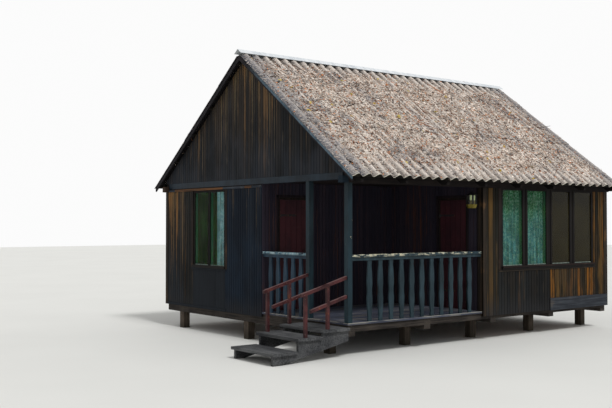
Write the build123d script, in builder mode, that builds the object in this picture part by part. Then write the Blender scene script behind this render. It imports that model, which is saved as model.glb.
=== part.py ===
from build123d import *
import math
import os

# Timber cabin on piers: a corner porch, two plank doors and a corrugated gable roof.
# Millimetres, +X along the ridge, -Y towards the porch eave, +Z up.
# The origin is on the foot of the central pier, at the centre of the plan.

# Plan and main heights
cabin_length = 6330
cabin_width = 5270
deck_height = 490
wall_thickness = 120
cladding_thickness = 25
cladding_foot = 409
plate_foot = 2510
gable_beam_foot = 2564

# Piers and floor frame
pier_width = 130
pier_columns = 5
pier_row_offset = 2115
bearer_width = 130
bearer_height = 165
floor_board_thickness = 30
joist_width = 50
joist_height = 100
joist_rows = 9
deck_board_count = 17
deck_board_gap = 6

# Porch in the corner at low X and low Y
porch_length = 2884
porch_depth = 2141
post_width = 83
entry_post_centre = 942
rail_top_height = 1470
rail_cap_height = 46
rail_cap_width = 76
rail_cap_rounding = 12
rail_base_height = 42
rail_base_width = 44
baluster_thickness = 26
baluster_end_width = 70
baluster_neck_width = 58
baluster_belly_width = 98
baluster_waist_width = 80
baluster_head_height = 45
baluster_head_chamfer = 22
baluster_belly_spread = 196
eave_baluster_first = 447
eave_baluster_last = 277
eave_baluster_count = 11
gable_baluster_first = 1157
gable_baluster_last = 192
gable_baluster_count = 5

# Entrance steps and their two rails
tread_tops = [428, 340, 170]
tread_fronts = [480, 910, 1340]
tread_thickness = 40
tread_overhang = 60
tread_nosing = 30
stringer_width = 45
stringer_depth = 150
stair_rail_size = 44
stair_rail_rear_post = 344
stair_rail_front_post = 741
stair_rail_foot_end = 815
stair_rail_foot_height = 945
stair_rail_head_height = 1166
stair_mid_rail_drop = 272
stair_mid_rail_foot_end = 658

# Roof
roof_pitch = 36.5
verge_overhang = 135
eave_overhang = 254
eave_edge_height = 2584
wave_count = 33
wave_height = 54
wave_valley_share = 0.24
wave_shoulder_share = 0.32
wave_shoulder_height = 38
sheet_thickness = 8
sheet_lap_clearance = 0.3
course_count = 3
top_course_cover = 774
sheet_lap = 340
ridge_gap = 45
broken_hole_from_verge = 180
broken_hole_from_eave = 280
broken_hole_length = 180
broken_hole_width = 150
batten_width = 50
batten_thickness = 40
eave_batten_distance = 60
ridge_batten_distance = 194
rafter_width = 50
rafter_depth = 100
rafter_pairs = 8
rafter_tail_setback = 30
rafter_tail_depth = 40
ridge_board_thickness = 30
ridge_board_depth = 150
tie_beam_height = 100
plate_width = 100
plate_height = 100
gable_beam_height = 98
gable_beam_proud = 15
gable_beam_width = 100
gable_panel_thickness = 60
ceiling_thickness = 20
barge_thickness = 25
barge_depth = 65
barge_setback = 10
ridge_cap_wing = 120
ridge_cap_thickness = 3
ridge_cap_overhang = 20

# Windows: the long one beside the porch and the two-light ones
pane_foot = 1212
pane_head_drop = 29
long_window_porch_margin = 511
long_window_far_margin = 463
long_window_side_mullion = 142
long_window_mid_mullion = 168
window_border = 55
window_depth = 60
window_setback = 4
glass_setback = 8
glass_thickness = 4
small_pane_width = 451
small_pane_foot = 1182
small_pane_head_drop = 38
small_window_mullion = 71
small_window_border = 45
gable_window_centre = 1124
rear_window_centre = 900
sill_projection = 40
sill_height = 45
skirt_length = 1705
skirt_top = 619
skirt_projection = 20
curtain_thickness = 30
curtain_clearance = 0.3
curtain_foot_gap = 30
curtain_head_gap = 5
gable_curtain_margin = 10
gable_curtain_width = 390

# Doors
leaf_width = 568
leaf_thickness = 40
leaf_foot_gap = 12
leaf_head = 2313
leaf_clearance = 5
plank_count = 5
plank_groove = 6
jamb_width = 35
side_door_start = 362
end_door_start = 930
hinge_heights = [770, 2040]
pin_diameter = 12
pin_clearance = 0.3
eye_diameter = 26
strap_length = 330
strap_height = 34
strap_thickness = 4
strap_crank = 34
handle_height = 1400
handle_length = 160
handle_bar = 14
handle_reach = 45
handle_edge_distance = 80

# Lantern under the porch eave
lantern_from_end_wall = 200
lantern_width = 220
lantern_glass_width = 180
lantern_base_width = 140
lantern_crown_width = 40
lantern_body_height = 150
lantern_roof_height = 60
lantern_base_height = 60
lantern_bar = 10
lantern_drop = 70
lantern_ring = 8

# Derived places
x_porch = -cabin_length / 2
x_far = cabin_length / 2
y_porch = -cabin_width / 2
y_rear = cabin_width / 2
x_end_wall = x_porch + porch_length
y_side_wall = y_porch + porch_depth
frame_top = deck_height - floor_board_thickness
bearer_foot = frame_top - bearer_height
plate_top = plate_foot + plate_height
ceiling_foot = plate_top - ceiling_thickness
pitch = math.radians(roof_pitch)
roof_length = cabin_length + 2 * verge_overhang
slope_run = cabin_width / 2 + eave_overhang
slope_length = slope_run / math.cos(pitch)
apex_height = eave_edge_height + slope_run * math.tan(pitch)
barge_face = roof_length / 2 - barge_setback
batten_end = barge_face - barge_thickness
course_step = sheet_thickness + sheet_lap_clearance
course_cover = (slope_length - top_course_cover) / (course_count - 1)
batten_plane_drop = batten_thickness / math.cos(pitch)
rafter_plane_drop = (batten_thickness + rafter_depth) / math.cos(pitch)


def roof_line(y):
    # height of the sheets' underside over a place across the plan
    return apex_height - abs(y) * math.tan(pitch)


def save(builder, name):
    builder.part.label = name
    export_step(builder.part, f"parts/{name}.step")


os.makedirs("parts", exist_ok=True)

# Fifteen square timber piers in three rows
pier_x_end = x_far - cladding_thickness - bearer_width / 2
pier_x = [-pier_x_end + i * 2 * pier_x_end / (pier_columns - 1) for i in range(pier_columns)]
pier_y = [-pier_row_offset, 0, pier_row_offset]
with BuildPart() as foundation_piers:
    with BuildSketch():
        with Locations(*[(x, y) for x in pier_x for y in pier_y]):
            Rectangle(pier_width, pier_width)
    extrude(amount=bearer_foot)
save(foundation_piers, "foundation_piers")

# Bearers across the cabin, one over each line of piers
bearer_length = cabin_width - 2 * cladding_thickness
with BuildPart() as bearers:
    with BuildSketch(Plane.XY.offset(bearer_foot)):
        with Locations(*[(x, 0) for x in pier_x]):
            Rectangle(bearer_width, bearer_length)
    extrude(amount=bearer_height)
save(bearers, "bearers")

# Joists between the bearers
bearer_spacing = pier_x[1] - pier_x[0]
joist_end = (bearer_length - joist_width) / 2
joist_y = [-joist_end + i * 2 * joist_end / (joist_rows - 1) for i in range(joist_rows)]
bays = [(a + b) / 2 for a, b in zip(pier_x, pier_x[1:])]
with BuildPart() as floor_joists:
    with BuildSketch(Plane.XY.offset(frame_top - joist_height)):
        with Locations(*[(x, y) for x in bays for y in joist_y]):
            Rectangle(bearer_spacing - bearer_width, joist_width)
    extrude(amount=joist_height)
save(floor_joists, "floor_joists")

# Room floor, an L around the porch, inside the cladding
x_floor = x_far - cladding_thickness
y_floor = y_rear - cladding_thickness
with BuildPart() as room_floor:
    with BuildSketch(Plane.XY.offset(frame_top)):
        with BuildLine():
            Polyline(
                (-x_floor, y_side_wall), (x_end_wall, y_side_wall), (x_end_wall, -y_floor),
                (x_floor, -y_floor), (x_floor, y_floor), (-x_floor, y_floor),
                close=True,
            )
        make_face()
    extrude(amount=floor_board_thickness)
save(room_floor, "room_floor")

# Porch deck of boards along the cabin
deck_pitch = (porch_depth + deck_board_gap) / deck_board_count
deck_board_width = deck_pitch - deck_board_gap
with BuildPart() as porch_deck:
    with BuildSketch(Plane.XY.offset(frame_top)):
        for i in range(deck_board_count):
            with Locations((x_porch, y_porch + i * deck_pitch)):
                Rectangle(porch_length, deck_board_width, align=(Align.MIN, Align.MIN))
    extrude(amount=floor_board_thickness)
save(porch_deck, "porch_deck")

# Entrance steps: two sawn stringers against the bearer, with three wide treads
entry_y0 = y_porch + post_width / 2
entry_y1 = y_porch + entry_post_centre
entry_middle = (entry_y0 + entry_y1) / 2
tread_width = entry_y1 - entry_y0 + 2 * tread_overhang
stair_back = -cladding_thickness
tread_backs = [stair_back] + tread_fronts[:-1]
tread_seats = [top - tread_thickness for top in tread_tops]
with BuildPart() as entry_steps:
    for seat, front, back in zip(tread_seats, tread_fronts, tread_backs):
        with BuildSketch(Plane.XY.offset(seat)):
            with Locations((x_porch - (front + back) / 2, entry_middle)):
                Rectangle(front - back, tread_width)
        extrude(amount=tread_thickness)
    saw_teeth = []
    for seat, front, back in zip(tread_seats, tread_fronts, tread_backs):
        nosing_back = 0 if back == stair_back else tread_nosing
        saw_teeth += [(x_porch - back + nosing_back, seat), (x_porch - front + tread_nosing, seat)]
    stringer_front = x_porch - tread_fronts[-1] + tread_nosing
    for side in (-1, 1):
        y_stringer = entry_middle + side * (tread_width / 2 - tread_overhang)
        with BuildSketch(Plane.XZ.offset(-y_stringer)):
            with BuildLine():
                Polyline(
                    *saw_teeth, (stringer_front, 0), (stringer_front + stringer_depth, 0),
                    (x_porch - stair_back, tread_seats[0] - stringer_depth),
                    close=True,
                )
            make_face()
        extrude(amount=stringer_width / 2, both=True)
save(entry_steps, "entry_steps")

# Two stair rails: a pair of posts, a sloping top rail and a mid rail each
rail_slope = (stair_rail_head_height - stair_rail_foot_height) / stair_rail_foot_end


def stair_rail_z(x_out, drop):
    # centre height of a sloping rail at a distance out from the porch posts
    return stair_rail_head_height - stair_rail_size / 2 - drop - rail_slope * x_out


for name, y_rail in (("right_stair_rail", entry_y0), ("left_stair_rail", entry_y1)):
    with BuildPart() as stair_rail:
        for x_out, foot in ((stair_rail_rear_post, tread_tops[0]), (stair_rail_front_post, tread_tops[1])):
            with BuildSketch(Plane.XY.offset(foot)):
                with Locations((x_porch - x_out, y_rail)):
                    Rectangle(stair_rail_size, stair_rail_size)
            extrude(amount=stair_rail_z(x_out, 0) - foot)
        for drop, x_end in ((0, stair_rail_foot_end), (stair_mid_rail_drop, stair_mid_rail_foot_end)):
            half = stair_rail_size / 2 / math.cos(math.atan(rail_slope))
            with BuildSketch(Plane.XZ.offset(-y_rail)):
                with BuildLine():
                    Polyline(
                        (x_porch, stair_rail_z(0, drop) - half),
                        (x_porch, stair_rail_z(0, drop) + half),
                        (x_porch - x_end, stair_rail_z(x_end, drop) + half),
                        (x_porch - x_end, stair_rail_z(x_end, drop) - half),
                        close=True,
                    )
                make_face()
            extrude(amount=stair_rail_size / 2, both=True)
    save(stair_rail, name)

# Porch posts: one at the corner, one beside the steps
corner_post_centre = (x_porch + post_width / 2, y_porch + post_width / 2)
with BuildPart() as corner_post:
    with BuildSketch(Plane.XY.offset(deck_height)):
        with Locations(corner_post_centre):
            Rectangle(post_width, post_width)
    extrude(amount=plate_foot - deck_height)
save(corner_post, "corner_post")

with BuildPart() as entry_post:
    with BuildSketch(Plane.XY.offset(deck_height)):
        with Locations((corner_post_centre[0], entry_y1)):
            Rectangle(post_width, post_width)
    extrude(amount=gable_beam_foot - deck_height)
save(entry_post, "entry_post")


def baluster_outline(centre):
    # sawn board with a square head and foot, two bellies and a waist at mid height
    head = rail_top_height - rail_cap_height - rail_base_height
    middle = (head + deck_height) / 2
    with BuildLine() as outline:
        for side in (-1, 1):
            waist_x = centre + side * baluster_waist_width / 2
            belly_x = centre + side * baluster_belly_width / 2
            neck_x = centre + side * baluster_neck_width / 2
            end_x = centre + side * baluster_end_width / 2
            for end, direction in ((deck_height, -1), (head, 1)):
                belly_z = middle + direction * baluster_belly_spread / 2
                shoulder_z = end - direction * baluster_head_height
                neck_z = shoulder_z - direction * baluster_head_chamfer
                Polyline((end_x, end), (end_x, shoulder_z), (neck_x, neck_z))
                TangentArc((belly_x, belly_z), (neck_x, neck_z), tangent=(0, direction))
            ThreePointArc(
                (belly_x, middle - baluster_belly_spread / 2), (waist_x, middle),
                (belly_x, middle + baluster_belly_spread / 2),
            )
        half = baluster_end_width / 2
        Line((centre - half, deck_height), (centre + half, deck_height))
        Line((centre - half, head), (centre + half, head))
    return make_face(outline.edges(), mode=Mode.PRIVATE)


def rail_section():
    # rounded cap over a narrower base, in the plane across the rail
    base_foot = rail_top_height - rail_cap_height - rail_base_height
    with BuildSketch(mode=Mode.PRIVATE) as section:
        with Locations((0, rail_top_height - rail_cap_height / 2)):
            RectangleRounded(rail_cap_width, rail_cap_height, rail_cap_rounding)
        with Locations((0, base_foot + rail_base_height / 2)):
            Rectangle(rail_base_width, rail_base_height)
        with Locations((0, rail_top_height - rail_cap_height)):
            Rectangle(rail_base_width, rail_cap_height / 2)
    return section.sketch


# Eave balustrade: the first place beside the corner post has lost its baluster
rail_y = y_porch + post_width / 2
eave_baluster_span = porch_length - eave_baluster_first - eave_baluster_last
eave_baluster_pitch = eave_baluster_span / (eave_baluster_count - 1)
with BuildPart() as eave_balustrade:
    with BuildSketch(Plane.YZ.offset(x_porch + post_width)):
        with Locations((rail_y, 0)):
            add(rail_section())
    extrude(amount=porch_length - post_width)
    with BuildSketch(Plane.XZ.offset(-rail_y)):
        for i in range(eave_baluster_count):
            add(baluster_outline(x_porch + eave_baluster_first + i * eave_baluster_pitch))
    extrude(amount=baluster_thickness / 2, both=True)
save(eave_balustrade, "eave_balustrade")

# Gable balustrade between the entry post and the gable wall
rail_x = x_porch + post_width / 2
gable_rail_start = entry_y1 + post_width / 2
gable_baluster_span = porch_depth - gable_baluster_first - gable_baluster_last
gable_baluster_pitch = gable_baluster_span / (gable_baluster_count - 1)
with BuildPart() as gable_balustrade:
    with BuildSketch(Plane.XZ.offset(-gable_rail_start)):
        with Locations((rail_x, 0)):
            add(rail_section())
    extrude(amount=-(y_side_wall - gable_rail_start))
    with BuildSketch(Plane.YZ.offset(rail_x)):
        for i in range(gable_baluster_count):
            add(baluster_outline(y_porch + gable_baluster_first + i * gable_baluster_pitch))
    extrude(amount=baluster_thickness / 2, both=True)
save(gable_balustrade, "gable_balustrade")

# Window layouts: the opening and the panes, along the wall
long_window_left = x_end_wall + long_window_porch_margin
long_window_glazed = x_far - long_window_far_margin - long_window_left
mullions = (long_window_side_mullion, long_window_mid_mullion, long_window_side_mullion)
pane_width = (long_window_glazed - sum(mullions)) / (len(mullions) + 1)
long_panes = [long_window_left + pane_width / 2]
for mullion in mullions:
    long_panes += [long_panes[-1] + pane_width + mullion]
long_window = {
    "panes": long_panes,
    "pane_width": pane_width,
    "foot": pane_foot,
    "head": plate_foot - pane_head_drop,
    "border": window_border,
}


def small_window(centre):
    offset = (small_pane_width + small_window_mullion) / 2
    return {
        "panes": [centre - offset, centre + offset],
        "pane_width": small_pane_width,
        "foot": small_pane_foot,
        "head": plate_foot - small_pane_head_drop,
        "border": small_window_border,
    }


def window_box(window):
    # left, right, bottom and top of the opening in the wall
    left = window["panes"][0] - window["pane_width"] / 2 - window["border"]
    right = window["panes"][-1] + window["pane_width"] / 2 + window["border"]
    return left, right, window["foot"] - window["border"], plate_foot


def rectangle_between(left, right, bottom, top):
    with Locations(((left + right) / 2, (bottom + top) / 2)):
        Rectangle(right - left, top - bottom)


def pane_openings(window):
    for centre in window["panes"]:
        half = window["pane_width"] / 2
        rectangle_between(centre - half, centre + half, window["foot"], window["head"])


gable_window = small_window(gable_window_centre)
rear_window = small_window(rear_window_centre)

# The eave wall beside the porch, with a skirt board along the foot of its far part
with BuildPart() as eave_wall:
    with BuildSketch(Plane.XZ.offset(-y_porch)):
        rectangle_between(x_end_wall, x_far, deck_height, plate_foot)
        left, right, bottom, top = window_box(long_window)
        with Locations(((left + right) / 2, (bottom + top) / 2)):
            Rectangle(right - left, top - bottom, mode=Mode.SUBTRACT)
    extrude(amount=-wall_thickness)
    with BuildSketch(Plane.XZ.offset(-y_porch)):
        rectangle_between(x_end_wall, x_far, cladding_foot, deck_height)
    extrude(amount=-cladding_thickness)
    with BuildSketch(Plane.XZ.offset(-y_porch)):
        rectangle_between(x_far - skirt_length, x_far, cladding_foot, skirt_top)
    extrude(amount=skirt_projection)
save(eave_wall, "eave_wall")

# The rear eave wall, full length
with BuildPart() as rear_wall:
    with BuildSketch(Plane.XZ.offset(-y_rear)):
        rectangle_between(x_porch, x_far, deck_height, plate_foot)
        left, right, bottom, top = window_box(rear_window)
        with Locations(((left + right) / 2, (bottom + top) / 2)):
            Rectangle(right - left, top - bottom, mode=Mode.SUBTRACT)
    extrude(amount=wall_thickness)
    with BuildSketch(Plane.XZ.offset(-y_rear)):
        rectangle_between(x_porch, x_far, cladding_foot, deck_height)
    extrude(amount=cladding_thickness)
save(rear_wall, "rear_wall")

# The gable wall beside the porch
with BuildPart() as gable_wall:
    with BuildSketch(Plane.YZ.offset(x_porch)):
        rectangle_between(y_side_wall, y_rear - wall_thickness, deck_height, gable_beam_foot)
        left, right, bottom, top = window_box(gable_window)
        with Locations(((left + right) / 2, (bottom + top) / 2)):
            Rectangle(right - left, top - bottom, mode=Mode.SUBTRACT)
    extrude(amount=wall_thickness)
    with BuildSketch(Plane.YZ.offset(x_porch)):
        rectangle_between(y_side_wall, y_rear - wall_thickness, cladding_foot, deck_height)
    extrude(amount=cladding_thickness)
save(gable_wall, "gable_wall")

# The far gable wall, plain, between the two eave walls
with BuildPart() as far_gable_wall:
    y_far_wall = y_rear - wall_thickness
    with BuildSketch(Plane.YZ.offset(x_far)):
        rectangle_between(-y_far_wall, y_far_wall, deck_height, gable_beam_foot)
    extrude(amount=-wall_thickness)
    with BuildSketch(Plane.YZ.offset(x_far)):
        rectangle_between(-y_far_wall, y_far_wall, cladding_foot, deck_height)
    extrude(amount=-cladding_thickness)
save(far_gable_wall, "far_gable_wall")

# Door places along the two porch walls; each opening holds a jamb, a gap and the leaf
opening_margin = leaf_clearance + jamb_width
side_door_left = x_porch + side_door_start - opening_margin
side_door_right = x_porch + side_door_start + leaf_width + opening_margin
end_door_near = y_porch + end_door_start - leaf_width
end_door_left = end_door_near - opening_margin
end_door_right = end_door_near + leaf_width + opening_margin
opening_head = leaf_head + opening_margin

# Side entry wall, in three pieces round its door
side_wall_pieces = {
    "side_entry_wall_left": (x_porch + wall_thickness, side_door_left, deck_height, ceiling_foot),
    "side_entry_wall_right": (side_door_right, x_end_wall + wall_thickness, deck_height, ceiling_foot),
    "side_entry_wall_head": (side_door_left, side_door_right, opening_head, ceiling_foot),
}
for name, limits in side_wall_pieces.items():
    with BuildPart() as wall_piece:
        with BuildSketch(Plane.XZ.offset(-y_side_wall)):
            rectangle_between(*limits)
        extrude(amount=-wall_thickness)
    save(wall_piece, name)

# End entry wall, in three pieces round its door
end_wall_pieces = {
    "end_entry_wall_right": (y_porch + wall_thickness, end_door_left, deck_height, ceiling_foot),
    "end_entry_wall_left": (end_door_right, y_side_wall, deck_height, ceiling_foot),
    "end_entry_wall_head": (end_door_left, end_door_right, opening_head, ceiling_foot),
}
for name, limits in end_wall_pieces.items():
    with BuildPart() as wall_piece:
        with BuildSketch(Plane.YZ.offset(x_end_wall)):
            rectangle_between(*limits)
        extrude(amount=wall_thickness)
    save(wall_piece, name)

# Window frames: the border, the mullions and a sill board, with glass in each light
window_frames = (
    ("eave_window", long_window, Plane.XZ.offset(-y_porch - window_setback), -1),
    ("gable_window", gable_window, Plane.YZ.offset(x_porch + window_setback), 1),
    ("rear_window", rear_window, Plane.XZ.offset(-y_rear + window_setback), 1),
)
for name, window, plane, inward in window_frames:
    left, right, bottom, top = window_box(window)
    with BuildPart() as window_frame:
        with BuildSketch(plane):
            rectangle_between(left, right, bottom, top)
            for centre in window["panes"]:
                with Locations((centre, (window["foot"] + window["head"]) / 2)):
                    Rectangle(window["pane_width"], window["head"] - window["foot"], mode=Mode.SUBTRACT)
        extrude(amount=inward * window_depth)
        with BuildSketch(plane):
            rectangle_between(left, right, bottom, bottom + sill_height)
        extrude(amount=-inward * (window_setback + sill_projection))
    save(window_frame, f"{name}_frame")
    with BuildPart() as window_glass:
        with BuildSketch(plane.offset(inward * glass_setback)):
            pane_openings(window)
        extrude(amount=inward * glass_thickness)
    save(window_glass, f"{name}_glass")

# Curtains behind the two lights nearest the porch and behind one side of the gable window
curtain_offset = window_setback + window_depth + curtain_clearance
with BuildPart() as eave_curtains:
    with BuildSketch(Plane.XZ.offset(-y_porch - curtain_offset)):
        for centre in long_panes[:2]:
            half = pane_width / 2 + curtain_foot_gap
            rectangle_between(
                centre - half, centre + half,
                pane_foot - curtain_foot_gap, plate_foot - curtain_head_gap,
            )
    extrude(amount=-curtain_thickness)
save(eave_curtains, "eave_curtains")

with BuildPart() as gable_curtain:
    with BuildSketch(Plane.YZ.offset(x_porch + curtain_offset)):
        left, right, bottom, top = window_box(gable_window)
        curtain_left = left + gable_curtain_margin
        rectangle_between(
            curtain_left, curtain_left + gable_curtain_width,
            bottom + curtain_foot_gap, top - curtain_head_gap,
        )
    extrude(amount=curtain_thickness)
save(gable_curtain, "gable_curtain")

# Eave plates: over the porch they are its eave beam, and their ends show under the verges
with BuildPart() as eave_plates:
    with BuildSketch(Plane.XY.offset(plate_foot)):
        for side in (-1, 1):
            with Locations((0, side * (cabin_width - plate_width) / 2)):
                Rectangle(2 * batten_end, plate_width)
    extrude(amount=plate_height)
save(eave_plates, "eave_plates")

# Gable beam at the foot of the porch-side gable, between the plates
y_inside_plates = cabin_width / 2 - plate_width
with BuildPart() as gable_beam:
    with BuildSketch(Plane.XY.offset(gable_beam_foot)):
        with Locations((x_porch - gable_beam_proud, 0)):
            Rectangle(gable_beam_width, 2 * y_inside_plates, align=(Align.MIN, Align.CENTER))
    extrude(amount=gable_beam_height)
save(gable_beam, "gable_beam")

# Boarded gables above the walls, up to the underside of the battens
gable_shoulder = roof_line(y_rear) - batten_plane_drop
gable_apex = apex_height - batten_plane_drop
for name, x_gable, direction, foot in (
    ("near_gable", x_porch, 1, gable_beam_foot + gable_beam_height),
    ("far_gable", x_far, -1, gable_beam_foot),
):
    with BuildPart() as gable_panel:
        with BuildSketch(Plane.YZ.offset(x_gable)):
            with BuildLine():
                Polyline(
                    (y_porch, plate_top), (-y_inside_plates, plate_top), (-y_inside_plates, foot),
                    (y_inside_plates, foot), (y_inside_plates, plate_top), (y_rear, plate_top),
                    (y_rear, gable_shoulder), (0, gable_apex), (y_porch, gable_shoulder),
                    close=True,
                )
            make_face()
        extrude(amount=direction * gable_panel_thickness)
    save(gable_panel, name)

# Ceiling boards over the porch and the room, under the tie beams
x_ceiling = x_porch + gable_beam_width - gable_beam_proud
with BuildPart() as ceiling:
    with BuildSketch(Plane.XY.offset(ceiling_foot)):
        rectangle_between(x_ceiling, x_far - gable_panel_thickness, -y_inside_plates, y_inside_plates)
    extrude(amount=ceiling_thickness)
save(ceiling, "ceiling")

# Rafter pairs on a ridge board, their tails cut level, each with its tie beam beside it
rafter_end = x_far - gable_panel_thickness - rafter_width / 2
rafter_x = [-rafter_end + i * 2 * rafter_end / (rafter_pairs - 1) for i in range(rafter_pairs)]
tail_y = y_rear + eave_overhang - rafter_tail_setback
rafter_top_at_ridge = apex_height - batten_plane_drop
tail_top = roof_line(tail_y) - batten_plane_drop
tail_foot = tail_top - rafter_tail_depth
tail_cut_y = (apex_height - rafter_plane_drop - tail_foot) / math.tan(pitch)
with BuildPart() as roof_frame:
    for x in rafter_x:
        with BuildSketch(Plane.YZ.offset(x)):
            for side in (-1, 1):
                with BuildLine():
                    Polyline(
                        (0, rafter_top_at_ridge),
                        (side * tail_y, tail_top),
                        (side * tail_y, tail_foot),
                        (side * tail_cut_y, tail_foot),
                        (0, apex_height - rafter_plane_drop),
                        close=True,
                    )
                make_face()
        extrude(amount=rafter_width / 2, both=True)
        x_tie = x + (rafter_width if x < 0 else -rafter_width)
        with BuildSketch(Plane.YZ.offset(x_tie)):
            with Locations((0, plate_top + tie_beam_height / 2)):
                Rectangle(cabin_width, tie_beam_height)
        extrude(amount=rafter_width / 2, both=True)
    with BuildSketch(Plane.YZ.offset(-rafter_end)):
        with Locations((0, rafter_top_at_ridge - ridge_board_depth / 2 - batten_thickness)):
            Rectangle(ridge_board_thickness, ridge_board_depth)
    extrude(amount=2 * rafter_end)
    with BuildSketch(Plane.XY.offset(plate_foot)):
        for side in (-1, 1):
            with Locations((0, side * (cabin_width - plate_width) / 2)):
                Rectangle(2 * batten_end, plate_width)
    extrude(amount=plate_height, mode=Mode.SUBTRACT)
save(roof_frame, "roof_frame")

# The plane of one slope: X back along the ridge, Y out of the roof, Z up the slope
slope_plane = Plane(
    origin=(0, y_porch - eave_overhang, eave_edge_height),
    x_dir=(-1, 0, 0),
    z_dir=(0, math.cos(pitch), math.sin(pitch)),
)

# Battens up both slopes: one in each lap and one halfway between, at the eave and under the
# ridge, packed up by one sheet under each higher course
lap_middle = course_cover + sheet_lap / 2
batten_places = (
    (eave_batten_distance, (eave_batten_distance + lap_middle) / 2, lap_middle),
    (lap_middle + course_cover / 2, lap_middle + course_cover),
    (slope_length - ridge_batten_distance,),
)
with BuildPart() as battens:
    for course, places in enumerate(batten_places):
        for place in places:
            with BuildSketch(slope_plane.offset(place)):
                top = course * course_step
                rectangle_between(-batten_end, batten_end, -batten_thickness, top)
            extrude(amount=batten_width)
    mirror(about=Plane.XZ)
save(battens, "battens")

# Barge boards at both verges, mitred at the ridge
with BuildPart() as barge_boards:
    for x_barge in (-barge_face, batten_end):
        with BuildSketch(Plane.YZ.offset(x_barge)):
            drop = barge_depth / math.cos(pitch)
            for side in (-1, 1):
                y_tail = side * (slope_run - rafter_tail_setback)
                with BuildLine():
                    Polyline(
                        (0, apex_height), (y_tail, roof_line(y_tail)),
                        (y_tail, roof_line(y_tail) - drop), (0, apex_height - drop),
                        close=True,
                    )
                make_face()
        extrude(amount=barge_thickness)
save(barge_boards, "barge_boards")


def wave_outline():
    # corrugated section with a valley at each verge, one outline of both faces of the sheet
    wave_pitch = roof_length / wave_count
    valley = wave_pitch * wave_valley_share / 2
    shoulder = wave_pitch * wave_shoulder_share / 2
    lower = [(-roof_length / 2, 0)]
    for i in range(wave_count):
        start = -roof_length / 2 + i * wave_pitch
        crest_x = start + wave_pitch / 2
        lower += [
            (start + valley, 0), (crest_x - shoulder, wave_shoulder_height), (crest_x, wave_height),
            (crest_x + shoulder, wave_shoulder_height), (start + wave_pitch - valley, 0),
        ]
    lower += [(roof_length / 2, 0)]
    upper = [(x, rise + sheet_thickness) for x, rise in reversed(lower)]
    return lower + upper


# Corrugated sheets in lapped courses up one slope
wave_points = wave_outline()
with BuildPart() as slope_sheets:
    for course in range(course_count):
        start = course * course_cover
        end = min(start + course_cover + sheet_lap, slope_length - ridge_gap)
        with BuildSketch(slope_plane.offset(start)):
            with BuildLine():
                Polyline(*[(x, rise + course * course_step) for x, rise in wave_points], close=True)
            make_face()
        extrude(amount=end - start)

with BuildPart() as roof_sheets_rear:
    mirror(slope_sheets.part, about=Plane.XZ)
save(roof_sheets_rear, "roof_sheets_rear")

# The front slope has lost a broken piece of its lowest sheet near the porch verge
with BuildPart() as roof_sheets_front:
    add(slope_sheets.part)
    with BuildSketch(slope_plane.offset(broken_hole_from_eave)):
        with Locations((roof_length / 2 - broken_hole_from_verge, wave_height / 2)):
            Rectangle(broken_hole_width, 2 * wave_height)
    extrude(amount=broken_hole_length, mode=Mode.SUBTRACT)
save(roof_sheets_front, "roof_sheets_front")

# Bent metal cap over the ridge, resting on the crests of the top course
crest = (course_count - 1) * course_step + wave_height + sheet_thickness + sheet_lap_clearance
cap_foot = apex_height + crest / math.cos(pitch)
cap_top = cap_foot + ridge_cap_thickness / math.cos(pitch)
cap_run = ridge_cap_wing * math.cos(pitch)
cap_fall = ridge_cap_wing * math.sin(pitch)
with BuildPart() as ridge_cap:
    with BuildSketch(Plane.YZ.offset(-roof_length / 2 - ridge_cap_overhang)):
        with BuildLine():
            Polyline(
                (-cap_run, cap_foot - cap_fall), (0, cap_foot), (cap_run, cap_foot - cap_fall),
                (cap_run, cap_top - cap_fall), (0, cap_top), (-cap_run, cap_top - cap_fall),
                close=True,
            )
        make_face()
    extrude(amount=roof_length + 2 * ridge_cap_overhang)
save(ridge_cap, "ridge_cap")


def add_jambs(left, right):
    # two jambs and a head lining inside a doorway, as an upside-down U
    rectangle_between(left, left + jamb_width, deck_height, opening_head)
    rectangle_between(right - jamb_width, right, deck_height, opening_head)
    rectangle_between(left, right, opening_head - jamb_width, opening_head)


# Linings of the two doorways
with BuildPart() as door_frames:
    with BuildSketch(Plane.XZ.offset(-y_side_wall)):
        add_jambs(side_door_left, side_door_right)
    extrude(amount=-wall_thickness)
    with BuildSketch(Plane.YZ.offset(x_end_wall)):
        add_jambs(end_door_left, end_door_right)
    extrude(amount=wall_thickness)
save(door_frames, "door_frames")

# Each door is drawn in a plane with X from its hinge to its free edge and Y up,
# whose normal points out into the porch
side_door_plane = Plane(
    origin=(x_porch + side_door_start, y_side_wall, 0), x_dir=(1, 0, 0), z_dir=(0, -1, 0)
)
end_door_plane = Plane(
    origin=(x_end_wall, end_door_near + leaf_width, 0), x_dir=(0, -1, 0), z_dir=(-1, 0, 0)
)
pin_reach = eye_diameter / 2 + leaf_clearance
hinge_x = -leaf_clearance / 2
plank_pitch = leaf_width / plank_count


def hinge_plan(door_plane, height):
    # level plane at a hinge: X from the hinge to the free edge, Y into the room
    return Plane(
        origin=door_plane.origin + Vector(0, 0, height), x_dir=door_plane.x_dir, z_dir=(0, 0, 1)
    )


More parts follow.
